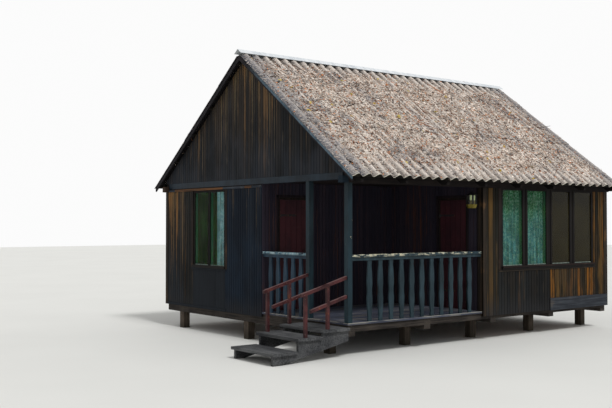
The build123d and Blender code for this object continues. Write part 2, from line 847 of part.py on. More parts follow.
for name, plane in (("side_door", side_door_plane), ("end_door", end_door_plane)):
    with BuildPart() as door_leaf:
        with BuildSketch(plane):
            rectangle_between(0, leaf_width, deck_height + leaf_foot_gap, leaf_head)
        extrude(amount=-leaf_thickness)
        with BuildSketch(plane):
            for i in range(1, plank_count):
                with Locations((i * plank_pitch, (deck_height + leaf_head) / 2)):
                    Rectangle(plank_groove, leaf_head - deck_height)
        extrude(amount=-plank_groove, mode=Mode.SUBTRACT)
    save(door_leaf, f"{name}_leaf")

    # Two cranked strap hinges whose eyes drop over the pins, and a pull handle
    with BuildPart() as ironwork:
        for height in hinge_heights:
            with BuildSketch(hinge_plan(plane, height)):
                with BuildLine():
                    Polyline(
                        (strap_length, 0), (strap_crank, 0),
                        (hinge_x + eye_diameter / 3, strap_thickness / 2 - pin_reach),
                        (hinge_x + eye_diameter / 3, -strap_thickness / 2 - pin_reach),
                        (strap_crank, -strap_thickness), (strap_length, -strap_thickness),
                        close=True,
                    )
                make_face()
                with Locations((hinge_x, -pin_reach)):
                    Circle(eye_diameter / 2)
                    Circle(pin_diameter / 2 + pin_clearance, mode=Mode.SUBTRACT)
            extrude(amount=strap_height)
        handle_x = leaf_width - handle_edge_distance
        with BuildSketch(plane):
            for end in (-1, 1):
                with Locations((handle_x, handle_height + end * (handle_length - handle_bar) / 2)):
                    Rectangle(handle_bar, handle_bar)
        extrude(amount=handle_reach)
        with BuildSketch(plane.offset(handle_reach - handle_bar)):
            with Locations((handle_x, handle_height)):
                Rectangle(handle_bar, handle_length)
        extrude(amount=handle_bar)
    save(ironwork, f"{name}_ironwork")

# Pintles: an upright pin on a bracket on each doorway's jamb, under each strap's eye
bracket_thickness = pin_diameter
with BuildPart() as door_pintles:
    for plane in (side_door_plane, end_door_plane):
        for height in hinge_heights:
            with BuildSketch(hinge_plan(plane, height - pin_clearance - bracket_thickness)):
                with BuildLine():
                    Polyline(
                        (-leaf_clearance - jamb_width, 0), (-leaf_clearance, 0),
                        (-leaf_clearance, pin_diameter / 2 - pin_reach),
                        (hinge_x, pin_diameter / 2 - pin_reach),
                        (hinge_x, -pin_diameter / 2 - pin_reach),
                        (-leaf_clearance - jamb_width, -strap_thickness),
                        close=True,
                    )
                make_face()
                with Locations((hinge_x, -pin_reach)):
                    Circle(eye_diameter / 2)
            extrude(amount=bracket_thickness)
            with BuildSketch(hinge_plan(plane, height - pin_clearance)):
                with Locations((hinge_x, -pin_reach)):
                    Circle(pin_diameter / 2)
            extrude(amount=strap_height + pin_clearance)
save(door_pintles, "door_pintles")

# Six-sided lantern on a hook under the eave plate
lantern_x = x_end_wall - lantern_from_end_wall
lantern_y = y_porch + plate_width / 2
lantern_top = plate_foot - lantern_drop
glass_top = lantern_top - lantern_roof_height
glass_foot = glass_top - lantern_body_height
pane_ring_radius = lantern_glass_width / 2 - 2 * lantern_bar


def lantern_hexagon(radius, mode=Mode.ADD):
    with Locations((lantern_x, lantern_y)):
        RegularPolygon(radius, 6, mode=mode)


def hexagon_taper(lower_width, upper_width, height):
    # lean of the six faces between two hexagons, one over the other
    return math.degrees(math.atan2((lower_width - upper_width) / 2 * math.cos(math.pi / 6), height))


with BuildPart() as porch_lantern:
    with BuildSketch(Plane.XY.offset(glass_foot - lantern_base_height)):
        lantern_hexagon(lantern_base_width / 2)
    base_taper = hexagon_taper(lantern_base_width, lantern_glass_width, lantern_base_height)
    extrude(amount=lantern_base_height, taper=base_taper)
    with BuildSketch(Plane.XY.offset(glass_foot)):
        with Locations((lantern_x, lantern_y)):
            with PolarLocations(lantern_glass_width / 2 - lantern_bar, 6):
                Rectangle(lantern_bar, lantern_bar)
    extrude(amount=lantern_body_height)
    with BuildSketch(Plane.XY.offset(glass_top)):
        lantern_hexagon(lantern_width / 2)
    roof_taper = hexagon_taper(lantern_width, lantern_crown_width, lantern_roof_height)
    extrude(amount=lantern_roof_height, taper=roof_taper)
    with BuildSketch(Plane.XY.offset(lantern_top)):
        with Locations((lantern_x, lantern_y)):
            Circle(lantern_ring / 2)
    extrude(amount=lantern_drop)
save(porch_lantern, "porch_lantern")

with BuildPart() as lantern_glass:
    with BuildSketch(Plane.XY.offset(glass_foot)):
        lantern_hexagon(pane_ring_radius)
        lantern_hexagon(pane_ring_radius - glass_thickness, mode=Mode.SUBTRACT)
    extrude(amount=lantern_body_height)
save(lantern_glass, "lantern_glass")
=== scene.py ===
import bpy
import bmesh
import itertools
import math
import random
from mathutils import Euler, Matrix, Vector


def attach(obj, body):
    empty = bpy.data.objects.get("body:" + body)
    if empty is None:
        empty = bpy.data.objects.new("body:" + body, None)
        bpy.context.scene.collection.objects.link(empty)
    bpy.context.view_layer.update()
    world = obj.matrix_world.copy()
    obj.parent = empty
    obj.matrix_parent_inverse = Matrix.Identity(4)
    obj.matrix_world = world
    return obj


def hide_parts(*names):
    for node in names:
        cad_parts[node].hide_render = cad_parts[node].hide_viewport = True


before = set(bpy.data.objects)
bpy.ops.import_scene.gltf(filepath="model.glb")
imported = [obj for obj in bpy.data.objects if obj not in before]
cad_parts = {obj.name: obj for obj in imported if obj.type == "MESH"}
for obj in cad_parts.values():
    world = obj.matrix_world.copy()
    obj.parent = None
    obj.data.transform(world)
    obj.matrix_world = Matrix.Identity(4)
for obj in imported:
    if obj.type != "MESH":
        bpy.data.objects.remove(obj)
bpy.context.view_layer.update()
SCENE = bpy.context.scene


# The view: from eye height off the porch corner, looking a little up at the roof. Its place and
# lens follow from the straight lines of the real cabin.
EYE = (-11.525, -12.397, 1.920)
VIEW_TURN, VIEW_LIFT = math.radians(-37.894), math.radians(1.253)


def put_in(name, data):
    """A new object in the scene."""
    thing = bpy.data.objects.new(name, data)
    SCENE.collection.objects.link(thing)
    return thing


lens = bpy.data.cameras.new("eye")
lens.sensor_width, lens.lens, lens.clip_end = 36.0, 52.667, 400.0
SCENE.camera = put_in("eye", lens)
SCENE.camera.location = EYE
SCENE.camera.rotation_euler = Euler((math.pi / 2 + VIEW_LIFT, 0, VIEW_TURN), "XYZ")
SCENE.view_settings.view_transform = "Standard"


# Piers, bearers, joists and steps: rough-sawn softwood, grey-brown with age, damp and dark at the
# foot. The bearers lie on the piers with the joists between them; two stringers carry the treads.
class Reading:
    """One value in a node tree, so that sums of values are written as plain maths."""

    def __init__(self, graph, socket):
        self.graph, self.socket = graph, socket

    def __add__(self, other):
        return self.graph.math("ADD", self, other)

    __radd__ = __add__

    def __sub__(self, other):
        return self.graph.math("SUBTRACT", self, other)

    def __rsub__(self, other):
        return self.graph.math("SUBTRACT", other, self)

    def __mul__(self, other):
        return self.graph.math("MULTIPLY", self, other)

    __rmul__ = __mul__

    def __truediv__(self, other):
        return self.graph.math("DIVIDE", self, other)

    def __gt__(self, other):
        return self.graph.math("GREATER_THAN", self, other)

    def __lt__(self, other):
        return self.graph.math("LESS_THAN", self, other)

    def __abs__(self):
        return self.graph.math("ABSOLUTE", self)


class Graph:
    """A node tree, built by one method for every kind of node."""

    def __init__(self, tree):
        self.tree = tree

    def node(self, kind, settings, sockets, out=0):
        made = self.tree.nodes.new(kind)
        for key, value in settings.items():
            setattr(made, key, value)
        self.feed(made, sockets)
        return Reading(self, made.outputs[out])

    def feed(self, made, sockets):
        """Gives a node's sockets their values or links."""
        for key, value in sockets.items():
            if isinstance(value, Reading):
                self.tree.links.new(value.socket, made.inputs[key])
            else:
                made.inputs[key].default_value = value

    def math(self, operation, *values):
        return self.node("ShaderNodeMath", {"operation": operation}, dict(enumerate(values)))

    def ease(self, value, low, high, bottom=0.0, top=1.0):
        """The bottom value under low, the top one over high and smooth between them."""
        sockets = {"Value": value, "From Min": low, "From Max": high, "To Min": bottom, "To Max": top}
        return self.node("ShaderNodeMapRange", {"interpolation_type": "SMOOTHSTEP"}, sockets)

    def split(self, vector):
        made = self.node("ShaderNodeSeparateXYZ", {}, {0: vector}).socket.node
        return [Reading(self, socket) for socket in made.outputs]


def paint(*colour):
    """A colour given as it looks on a screen, 0 to 255, as the linear one that shaders use."""
    return *(((v / 255 + 0.055) / 1.055) ** 2.4 if v > 10 else v / 255 / 12.92 for v in colour), 1.0


class Finish(Graph):
    """The finish of one kind of surface, patterned on the object's own coordinates."""

    def __init__(self, name, **constants):
        self.material = bpy.data.materials.new(name)
        self.material.use_nodes = True
        super().__init__(self.material.node_tree)
        self.shader = self.tree.nodes["Principled BSDF"]
        self.coat({"Specular_IOR_Level": 0.15, **constants})
        self.place = self.node("ShaderNodeTexCoord", {}, {}, "Object")
        self.x, self.y, self.z = self.split(self.place)

    def coat(self, wanted):
        """Feeds the shader; a socket's name is written with _ for its spaces."""
        self.feed(self.shader, {key.replace("_", " "): value for key, value in wanted.items()})

    def noise(self, scale, detail=3.0, at=(0, 0, 0), rough=0.55):
        """Cloudy values about 0.5; scale is in clouds to the metre, along each axis or along all."""
        scale = scale if isinstance(scale, (tuple, list)) else (scale, scale, scale)
        where = self.node("ShaderNodeMapping", {}, {"Vector": self.place, "Location": at, "Scale": scale})
        sockets = {"Vector": where, "Scale": 1.0, "Detail": detail, "Roughness": rough}
        return self.node("ShaderNodeTexNoise", {}, sockets, "Fac")

    def mix(self, share, first, second):
        """One colour over another by a share; they are painted or read colours."""
        colours = {6 + i: c if isinstance(c, Reading) else paint(*c) for i, c in enumerate((first, second))}
        return self.node("ShaderNodeMix", {"data_type": "RGBA"}, {0: share, **colours}, 2)

    def blend(self, value, low, high, first, second, share=1.0):
        """The first colour where the value is under low, and a share of the second over high."""
        return self.mix(self.ease(value, low, high, top=share), first, second)

    def shade(self, colour, share):
        """The colour made darker or lighter by a value."""
        grey = self.node("ShaderNodeCombineColor", {}, {0: share, 1: share, 2: share})
        settings = {"data_type": "RGBA", "blend_type": "MULTIPLY"}
        return self.node("ShaderNodeMix", settings, {0: 1.0, 6: colour, 7: grey}, 2)

    def own(self, attribute):
        return self.node("ShaderNodeAttribute", {"attribute_name": attribute}, {}, "Fac")

    def off_middle(self, value):
        """How far a value is from the middle between two whole numbers, 0 to 0.5."""
        return abs(self.math("FRACT", value) - 0.5)

    def set(self, colour, height=None, depth=0.002, **others):
        """Joins the colour, the relief and other sockets to the shader; depth is in metres."""
        wanted = {"Base_Color": colour, **others}
        if height is not None:
            sockets = {"Height": height, "Strength": 1.0, "Distance": depth}
            wanted["Normal"] = self.node("ShaderNodeBump", {}, sockets)
        self.coat(wanted)
        return self.material


def wear_material(material, *node_names):
    """Gives carried-over solids their finish."""
    for node_name in node_names:
        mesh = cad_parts[node_name].data
        mesh.materials.clear()
        mesh.materials.append(material)


UNDER_VERGE = -3.15
FRONT_END = (24, 36, 46)


def aged_timber(name, along, dark, light, stain_top=0.0, rear_end=None):
    """Rough timber with its grain along one axis, darker from the ground up to stain_top. Where
    rear_end is given, the ends under the porch verge are painted: that colour behind the ridge,
    blue-black before it."""
    finish = Finish(name, Roughness=0.85)
    scale = [55.0, 55.0, 55.0]
    scale["xyz".index(along)] = 1.6
    grain = finish.noise(scale, 5.0, rough=0.65)
    clouds = finish.noise(2.3, 3.0, at=(3, 5, 1))
    fibre = finish.noise([3 * s for s in scale], 2.0, at=(1, 1, 7))
    colour = finish.blend(grain * 0.7 + clouds * 0.5, 0.45, 0.8, dark, light)
    if rear_end:
        colour = finish.mix(finish.x < UNDER_VERGE, colour, finish.mix(finish.y > 0.0, FRONT_END, rear_end))
    colour = finish.shade(colour, finish.ease(fibre, 0.36, 0.42, 0.55, 1.0))
    if stain_top:
        damp = finish.ease(finish.z + clouds * 0.12, 0.02, stain_top)
        colour = finish.mix(damp, finish.mix(0.55, colour, (46, 46, 36)), colour)
    return finish.set(colour, height=grain * 0.6 + fibre * 0.4, depth=0.004)


wear_material(aged_timber("pier timber", "z", (44, 38, 34), (92, 82, 72), 0.22), "foundation_piers")
wear_material(aged_timber("bearer timber", "y", (34, 31, 30), (70, 64, 58)), "bearers")
wear_material(aged_timber("joist timber", "x", (34, 31, 30), (68, 62, 56)), "floor_joists")
wear_material(aged_timber("step timber", "y", (42, 43, 46), (98, 99, 100), 0.12), "entry_steps")


# Porch deck and room floor: planed boards nailed to the joists. The deck's thin blue-grey paint is
# worn to pale wood on its upper edges; the room's boards are oiled brown.
DECK_TOP, DECK_FRONT, DECK_END = 0.490, -2.635, -3.165


def deck_finish():
    finish = Finish("worn deck paint", Roughness=0.7)
    grain = finish.noise((1.8, 70.0, 40.0), 4.0)
    patches = finish.noise((2.2, 5.0, 5.0), 4.0, at=(4, 1, 0), rough=0.6)
    colour = finish.blend(patches + grain * 0.35, 0.62, 0.82, (66, 70, 84), (98, 97, 98))
    colour = finish.shade(colour, finish.ease(grain, 0.3, 0.55, 0.65, 1.0))
    edge = finish.ease(finish.z, DECK_TOP - 0.009, DECK_TOP - 0.001)
    front = finish.math(
        "MAXIMUM", finish.ease(finish.y, DECK_FRONT + 0.013, DECK_FRONT + 0.002),
        finish.ease(finish.x, DECK_END + 0.013, DECK_END + 0.002))
    worn = finish.ease(patches, 0.34, 0.5)
    colour = finish.mix(edge * front * worn, colour, (160, 158, 148))
    return finish.set(colour, height=grain, depth=0.0015)


def floor_finish():
    """Indoor boards, with a joint every 110 mm."""
    finish = Finish("room floor boards", Roughness=0.55)
    grain = finish.noise((1.5, 60.0, 30.0), 4.0)
    joint = finish.off_middle(finish.y / 0.11)
    colour = finish.blend(grain, 0.35, 0.7, (96, 68, 46), (142, 106, 74))
    colour = finish.shade(colour, finish.ease(joint, 0.47, 0.49, 1.0, 0.3))
    return finish.set(colour, height=finish.ease(joint, 0.49, 0.46) + grain * 0.1, depth=0.002)


wear_material(deck_finish(), "porch_deck")
wear_material(floor_finish(), "room_floor")


# Porch posts and the beam over them: planed square timber in old blue-grey oil paint, which has
# chipped to a cream undercoat here and there.
CHIP_CREAM, CHIP_GREY = (214, 206, 176), (150, 156, 146)


def blue_paint(name, dark, light, chips=0.30, rail_top=0.0, peel=0.0, bared=(CHIP_CREAM, CHIP_GREY)):
    """Old blue-grey paint; over rail_top it has peeled by the given share to the bared colours."""
    finish = Finish(name, Roughness=0.55)
    clouds = finish.noise((3.0, 3.0, 1.4), 4.0)
    streak = finish.noise((38.0, 38.0, 2.5), 4.0, at=(2, 0, 0))
    colour = finish.blend(clouds + streak * 0.4, 0.5, 0.85, dark, light)
    flakes = finish.noise((16.0, 16.0, 9.0), 5.0, at=(7, 3, 2), rough=0.7)
    bare = finish.ease(flakes, 1 - chips, 1 - chips + 0.015)
    if rail_top:
        broad = finish.noise((9.0, 9.0, 40.0), 5.0, at=(1, 8, 2), rough=0.68)
        kept = finish.ease(finish.x, -1.5, -0.5) * 0.09
        lifted = finish.ease(broad - kept, 0.5 - peel, 0.5 - peel + 0.04)
        high = finish.ease(finish.z, rail_top - 0.052, rail_top - 0.012)
        bare = finish.math("MAXIMUM", bare, lifted * high)
        pale = finish.blend(streak, 0.4, 0.6, *bared)
    else:
        pale = CHIP_CREAM
    colour = finish.mix(bare, colour, pale)
    grime = finish.ease(finish.noise((6, 6, 3), 3.0, at=(0, 4, 4)), 0.35, 0.6)
    colour = finish.shade(colour, grime * 0.3 + 0.7)
    return finish.set(colour, Roughness=0.5 + bare * 0.3, height=streak * 0.3 - bare * 0.6, depth=0.0015)


wear_material(blue_paint("post paint", (15, 32, 40), (28, 47, 55), chips=0.31), "corner_post", "entry_post")
wear_material(blue_paint("beam paint", (16, 25, 33), (28, 42, 53), chips=0.22), "gable_beam")

# Balustrades: sawn boards under a rounded rail, in the same paint. The eave rail has peeled to cream
# along its top, the gable rail only to a pale grey blue. The first eave baluster is lost.
RAIL_TOP = 1.470
wear_material(
    blue_paint("eave rail paint", (22, 37, 43), (40, 58, 66), 0.26, RAIL_TOP, 0.025), "eave_balustrade")
gable_bared = ((176, 194, 196), (104, 146, 164))
wear_material(
    blue_paint("gable rail paint", (19, 38, 52), (38, 62, 80), 0.26, RAIL_TOP, 0.07, gable_bared),
    "gable_balustrade")


# Stair rails: square steel bars in red-brown paint, worn pale along their tops and rusty where
# the mid rails end.
def red_rail_finish():
    finish = Finish("red rail paint", Roughness=0.5)
    clouds = finish.noise(6, 4.0)
    flakes = finish.noise(34, 5.0, at=(2, 2, 5), rough=0.7)
    colour = finish.blend(clouds, 0.35, 0.65, (48, 24, 26), (78, 41, 42))
    colour = finish.blend(flakes, 0.61, 0.67, colour, (124, 92, 86))
    _, _, upward = finish.split(finish.node("ShaderNodeNewGeometry", {}, {}, "Normal"))
    worn = finish.ease(upward, 0.5, 0.8) * finish.ease(clouds, 0.30, 0.5)
    colour = finish.mix(worn * 0.7, colour, (120, 97, 96))
    rust = finish.ease(finish.noise(10, 4.0, at=(9, 1, 1)), 0.63, 0.74)
    colour = finish.mix(rust, colour, (104, 62, 44))
    return finish.set(colour, Roughness=0.45 + rust * 0.4, height=flakes, depth=0.0012)


wear_material(red_rail_finish(), "right_stair_rail", "left_stair_rail")


# Cladding: narrow upright boards nailed side by side, once stained near black, now weathered to
# brown, with tan and orange streaks where the stain has gone. Each board has its own tone.
def board_finish(name, dark, brown, tan, orange, foot=0.0, climb=0.0, climb_from=2.6, cool=(40, 46, 56)):
    """Weathered boards; the attribute wear, and height over climb_from, say how much stain is lost."""
    finish = Finish(name, Roughness=0.8)
    tone, wear = finish.own("tone"), finish.own("wear")
    grain = finish.noise((85.0, 85.0, 1.3), 5.0, rough=0.62)
    streak = finish.noise((44.0, 44.0, 0.8), 4.0, at=(5, 2, 1), rough=0.6)
    clouds = finish.noise((1.7, 1.7, 1.1), 3.0, at=(2, 7, 3))
    patch = finish.noise((9.0, 9.0, 2.6), 4.0, at=(8, 1, 4), rough=0.65)
    high = (finish.z - climb_from) * climb
    base = grain * 0.5 + tone * 0.35 + clouds * 0.4 + high
    colour = finish.blend(base, 0.45, 0.88, dark, brown)
    faded = finish.ease(streak * 1.2 + patch * 0.4 + wear * 0.5 + clouds * 0.3 + high, 1.07, 1.22)
    pale = finish.blend(tone + patch * 0.6, 0.7, 1.05, tan, orange)
    pale = finish.shade(pale, finish.ease(grain, 0.3, 0.62, 0.5, 1.0))
    colour = finish.mix(faded, colour, pale)
    bloom = finish.ease(clouds + patch * 0.3 - high, 0.56, 0.86) * 0.6
    colour = finish.mix(bloom, colour, cool)
    if foot:
        damp = finish.ease(finish.z + patch * 0.3, foot + 0.5, foot + 0.12)
        colour = finish.mix(damp * 0.7, colour, (36, 36, 38))
    knots = finish.node("ShaderNodeTexVoronoi", {}, {
        "Vector": finish.node("ShaderNodeMapping", {}, {"Vector": finish.place, "Scale": (7, 7, 3.0)}),
        "Scale": 1.0}, "Distance")
    colour = finish.shade(colour, finish.ease(knots, 0.035, 0.075, 0.4, 1.0))
    return finish.set(colour, Roughness=0.85 - faded * 0.15, height=grain * 0.6 + streak * 0.3, depth=0.003)


dark_boards = board_finish(
    "dark boards", (13, 14, 15), (35, 31, 26), (92, 74, 50), (114, 80, 44), 0.41, 0.05, 1.6, (27, 31, 33))
gable_boards = board_finish(
    "gable boards", (24, 26, 29), (54, 47, 41), (100, 86, 64), (114, 87, 58), 0.0, 0.16, 3.3, (46, 50, 57))
warm_boards = board_finish(
    "warm boards", (19, 17, 11), (43, 35, 23), (88, 64, 27), (130, 81, 20), 0.41, cool=(31, 31, 28))
brown_boards = board_finish(
    "brown boards", (23, 24, 26), (54, 47, 40), (112, 88, 54), (126, 90, 50), 0.41, 0.14, 1.75, (34, 40, 46))
blue_boards = board_finish(
    "blue-black boards", (8, 17, 28), (24, 31, 40), (76, 66, 52), (104, 76, 46), 0.41, 0.08, 1.9,
    (22, 36, 50))
porch_boards = board_finish(
    "porch boards", (36, 33, 44), (51, 44, 53), (68, 48, 48), (92, 56, 40), cool=(38, 38, 50))


class Growth(Graph):
    """A tree of Geometry Nodes that adds a shape to what it is given; inputs are names and kinds."""

    def __init__(self, name, inputs):
        super().__init__(bpy.data.node_groups.new(name, "GeometryNodeTree"))
        for label, kind in {"Geometry": "Geometry", **inputs}.items():
            self.tree.interface.new_socket(name=label, in_out="INPUT", socket_type="NodeSocket" + kind)
        self.tree.interface.new_socket(name="Geometry", in_out="OUTPUT", socket_type="NodeSocketGeometry")
        outputs = self.node("NodeGroupInput", {}, {}).socket.node.outputs
        self.given = {socket.name: Reading(self, socket) for socket in outputs}

    def shape(self, kind, sockets, out=0, **settings):
        return self.node("GeometryNode" + kind, settings, sockets, out)

    def vector(self, operation, *values, out=0):
        return self.node("ShaderNodeVectorMath", {"operation": operation}, dict(enumerate(values)), out)

    def scaled(self, vector, factor):
        return self.node("ShaderNodeVectorMath", {"operation": "SCALE"}, {0: vector, 3: factor})

    def at(self, x=0.0, y=0.0, z=0.0):
        return self.node("ShaderNodeCombineXYZ", {}, {0: x, 1: y, 2: z})

    def chance(self, low, high, seed):
        sockets = {2: low, 3: high, "Seed": seed}
        return self.node("FunctionNodeRandomValue", {"data_type": "FLOAT"}, sockets, 1)

    def line(self, count, start, step):
        sockets = {"Count": count, "Start Location": start, "Offset": step}
        return self.shape("MeshLine", sockets, mode="OFFSET")

    def mark(self, copies, attribute, value):
        """Copies that each carry a value of their own."""
        sockets = {0: copies, "Name": attribute, "Value": value}
        return self.shape("StoreNamedAttribute", sockets, data_type="FLOAT", domain="INSTANCE")

    def real(self, copies):
        return self.shape("RealizeInstances", {0: copies})

    def wear(self, shape, finish):
        return self.shape("SetMaterial", {0: shape, "Material": finish})

    def together(self, first, *others):
        whole = self.shape("JoinGeometry", {0: first})
        for other in others:
            self.tree.links.new(other.socket, whole.socket.node.inputs[0])
        return whole

    def end(self, *shapes):
        self.feed(self.tree.nodes.new("NodeGroupOutput"), {0: self.together(*shapes)})
        return self.tree


def board_tree():
    """Upright boards in a row, each with its own tone, cut off under a pair of roof slopes."""
    wall = Growth("upright boards", {
        "Start": "Vector", "Step": "Vector", "Count": "Int", "Board Size": "Vector", "Outward": "Vector",
        "Wear": "Float", "Ridge Height": "Float", "Roof Fall": "Float", "Seed": "Int", "Finish": "Material"})
    given = wall.given
    seeds = [given["Seed"] + shift for shift in (1, 2, 3, 4)]
    blank = wall.shape("MeshCube", {"Size": given["Board Size"]})
    position = wall.shape("InputPosition", {})
    sideways = wall.vector("NORMALIZE", given["Step"])
    side = wall.math("SIGN", wall.vector("DOT_PRODUCT", position, sideways, out=1))
    lead = wall.vector("DOT_PRODUCT", position, given["Outward"], out=1)
    inset = wall.scaled(sideways, side * -BOARD_CHAMFER)
    blank = wall.shape("SetPosition", {0: blank, "Selection": lead > 0.0, "Offset": inset})
    narrow = wall.scaled(wall.vector("ABSOLUTE", sideways), wall.chance(-NARROWEST, 0.0, seeds[0]))
    boards = wall.shape("InstanceOnPoints", {
        "Points": wall.line(given["Count"], given["Start"], given["Step"]), "Instance": blank,
        "Scale": wall.vector("ADD", narrow, (1.0, 1.0, 1.0))})
    sunk = wall.scaled(given["Outward"], wall.chance(-DEEPEST, 0.0, seeds[1]))
    boards = wall.shape("TranslateInstances", {0: boards, "Translation": sunk})
    boards = wall.mark(boards, "tone", wall.chance(0.0, 1.0, seeds[2]))
    boards = wall.mark(boards, "wear", given["Wear"] + wall.chance(-WEAR_SPREAD, WEAR_SPREAD, seeds[3]))
    x, y, z = wall.split(position)
    roof = given["Ridge Height"] - abs(y) * given["Roof Fall"]
    cut = wall.at(x, y, wall.math("MINIMUM", z, roof))
    boards = wall.shape("SetPosition", {0: wall.real(boards), "Position": cut})
    return wall.end(wall.wear(boards, given["Finish"]), given["Geometry"])


def grow(name, steps):
    """A plain mesh object from modifiers in turn; a step is (node tree, values by input name) or
    (kind of modifier, its settings)."""
    seed_object = put_in(name + " seed", bpy.data.meshes.new(name))
    for tree, values in steps:
        if isinstance(tree, str):
            modifier = seed_object.modifiers.new(tree, tree)
            for key, value in values.items():
                setattr(modifier, key, value)
            continue
        modifier = seed_object.modifiers.new(tree.name, "NODES")
        modifier.node_group = tree
        for item in tree.interface.items_tree:
            if item.in_out == "INPUT" and item.name in values:
                modifier[item.identifier] = values[item.name]
    evaluated = seed_object.evaluated_get(bpy.context.evaluated_depsgraph_get())
    mesh = bpy.data.meshes.new_from_object(evaluated)
    bpy.data.objects.remove(seed_object)
    return put_in(name, mesh)


def belong(piece, slot_name, *replaced):
    """Makes a piece part of the standing cabin, in place of the solids that are named."""
    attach(piece, "cabin")
    for node_name in replaced:
        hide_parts(node_name)
    return piece


def on_wall(outward, along, out, up):
    """A place on a wall: the eave walls run along X and the gable walls along Y."""
    return (along, out, up) if outward[1] else (out, along, up)


FRONT, BACK, LEFT, RIGHT = (0, -1, 0), (0, 1, 0), (-1, 0, 0), (1, 0, 0)
BOARD_WIDTH, BOARD_THICKNESS, BOARD_CHAMFER, BOARD_JOINT = 0.070, 0.012, 0.004, 0.002
# How far a board may be narrower (as a share), sunk (in metres) and off its wall's wear.
NARROWEST, DEEPEST, WEAR_SPREAD = 0.035, 0.0025, 0.22
OPEN_SKY = 100.0
upright_boards = board_tree()
board_seeds = itertools.count(17, 7)


def clad(name, outward, face, *runs, ridge=OPEN_SKY, fall=0.0):
    """Boards on one wall face, in runs of (start, end, foot, head, finish, wear), to which a width
    of the boards may be added. They end under a roof of that ridge height and fall."""
    outward = Vector(outward)
    along = Vector(on_wall(outward, 1, 0, 0))
    across = Vector([abs(v) for v in outward]) * BOARD_THICKNESS
    steps = []
    for start, end, foot, head, finish, wear, *width in runs:
        low, high = Vector(on_wall(outward, start, face, foot)), Vector(on_wall(outward, end, face, head))
        length, height = (high - low).dot(along), high.z - low.z
        count = max(1, round(length / (width[0] if width else BOARD_WIDTH)))
        step = length / count
        middle = low + along * step / 2 + outward * BOARD_THICKNESS / 2 + Vector((0, 0, height / 2))
        steps.append((upright_boards, {
            "Start": middle, "Step": along * step, "Count": count, "Outward": outward, "Wear": wear,
            "Board Size": along * (step - BOARD_JOINT) + across + Vector((0, 0, height)),
            "Ridge Height": ridge, "Roof Fall": fall, "Seed": next(board_seeds), "Finish": finish}))
    return belong(grow(name, steps), "dark_cladding")


X_PORCH, X_FAR, Y_PORCH, Y_REAR, X_END, Y_SIDE = -3.165, 3.165, -2.635, 2.635, -0.281, -0.494
BOARD_FOOT, PORCH_FOOT, SKIRT_TOP, SILL_FOOT, SMALL_SILL_FOOT = 0.409, 0.492, 0.619, 1.157, 1.137
EAVE_HEAD, GABLE_HEAD, FAR_HEAD, PORCH_HEAD, DOOR_HEAD = 2.505, 2.510, 2.575, 2.590, 2.353
LONG_CASING, SKIRT_START, LONG_WINDOW_END = 0.105, 1.460, 2.757
GABLE_WINDOW, REAR_WINDOW = (0.5925, 1.6555), (0.3685, 1.4315)
SIDE_DOOR, END_DOOR = (-2.843, -2.195), (-2.313, -1.665)

# The eave wall: dark boards under the left lights, a strip of orange worn ones under the right, and
# one bright board beside the porch corner.
clad(
    "eave_wall_boards", FRONT, Y_PORCH,
    (X_END, -0.135, BOARD_FOOT, EAVE_HEAD, warm_boards, 0.05),
    (-0.135, -0.030, BOARD_FOOT, EAVE_HEAD, warm_boards, 0.95, 0.105),
    (-0.030, LONG_CASING, BOARD_FOOT, EAVE_HEAD, warm_boards, -0.05),
    (LONG_CASING, SKIRT_START, BOARD_FOOT, SILL_FOOT, dark_boards, 0.04),
    (SKIRT_START, LONG_WINDOW_END, SKIRT_TOP, SILL_FOOT, warm_boards, 0.36),
    (LONG_WINDOW_END, X_FAR, SKIRT_TOP, EAVE_HEAD, warm_boards, 0.34))
# The gable wall beside the porch, browner at its left, with a plain dark panel under its window.
clad(
    "gable_wall_boards", LEFT, X_PORCH,
    (Y_SIDE, GABLE_WINDOW[0], BOARD_FOOT, GABLE_HEAD, blue_boards, -0.05),
    (GABLE_WINDOW[1], 2.0, BOARD_FOOT, GABLE_HEAD, dark_boards, 0.12),
    (2.0, Y_REAR, BOARD_FOOT, GABLE_HEAD, brown_boards, 0.20))
# The rear wall and the far gable wall: plain dark boards, a little warmer at the rear's far end.
clad(
    "rear_wall_boards", BACK, Y_REAR,
    (X_PORCH, REAR_WINDOW[0], BOARD_FOOT, EAVE_HEAD, dark_boards, 0.02),
    (*REAR_WINDOW, BOARD_FOOT, SMALL_SILL_FOOT, dark_boards, 0.02),
    (REAR_WINDOW[1], X_FAR, BOARD_FOOT, EAVE_HEAD, warm_boards, 0.05))
clad("far_gable_wall_boards", RIGHT, X_FAR, (Y_PORCH, Y_REAR, BOARD_FOOT, FAR_HEAD, dark_boards, 0.08))
# The two porch walls, in the shade of the roof, beside and over their doors.
clad(
    "side_entry_boards", FRONT, Y_SIDE,
    (X_PORCH, SIDE_DOOR[0], PORCH_FOOT, PORCH_HEAD, porch_boards, 0.06),
    (SIDE_DOOR[1], X_END, PORCH_FOOT, PORCH_HEAD, porch_boards, 0.10),
    (*SIDE_DOOR, DOOR_HEAD, PORCH_HEAD, porch_boards, 0.0))
clad(
    "end_entry_boards", LEFT, X_END,
    (END_DOOR[1], Y_SIDE, PORCH_FOOT, PORCH_HEAD, porch_boards, 0.12),
    (-2.515, END_DOOR[0], PORCH_FOOT, PORCH_HEAD, porch_boards, 0.05),
    (*END_DOOR, DOOR_HEAD, PORCH_HEAD, porch_boards, 0.0))
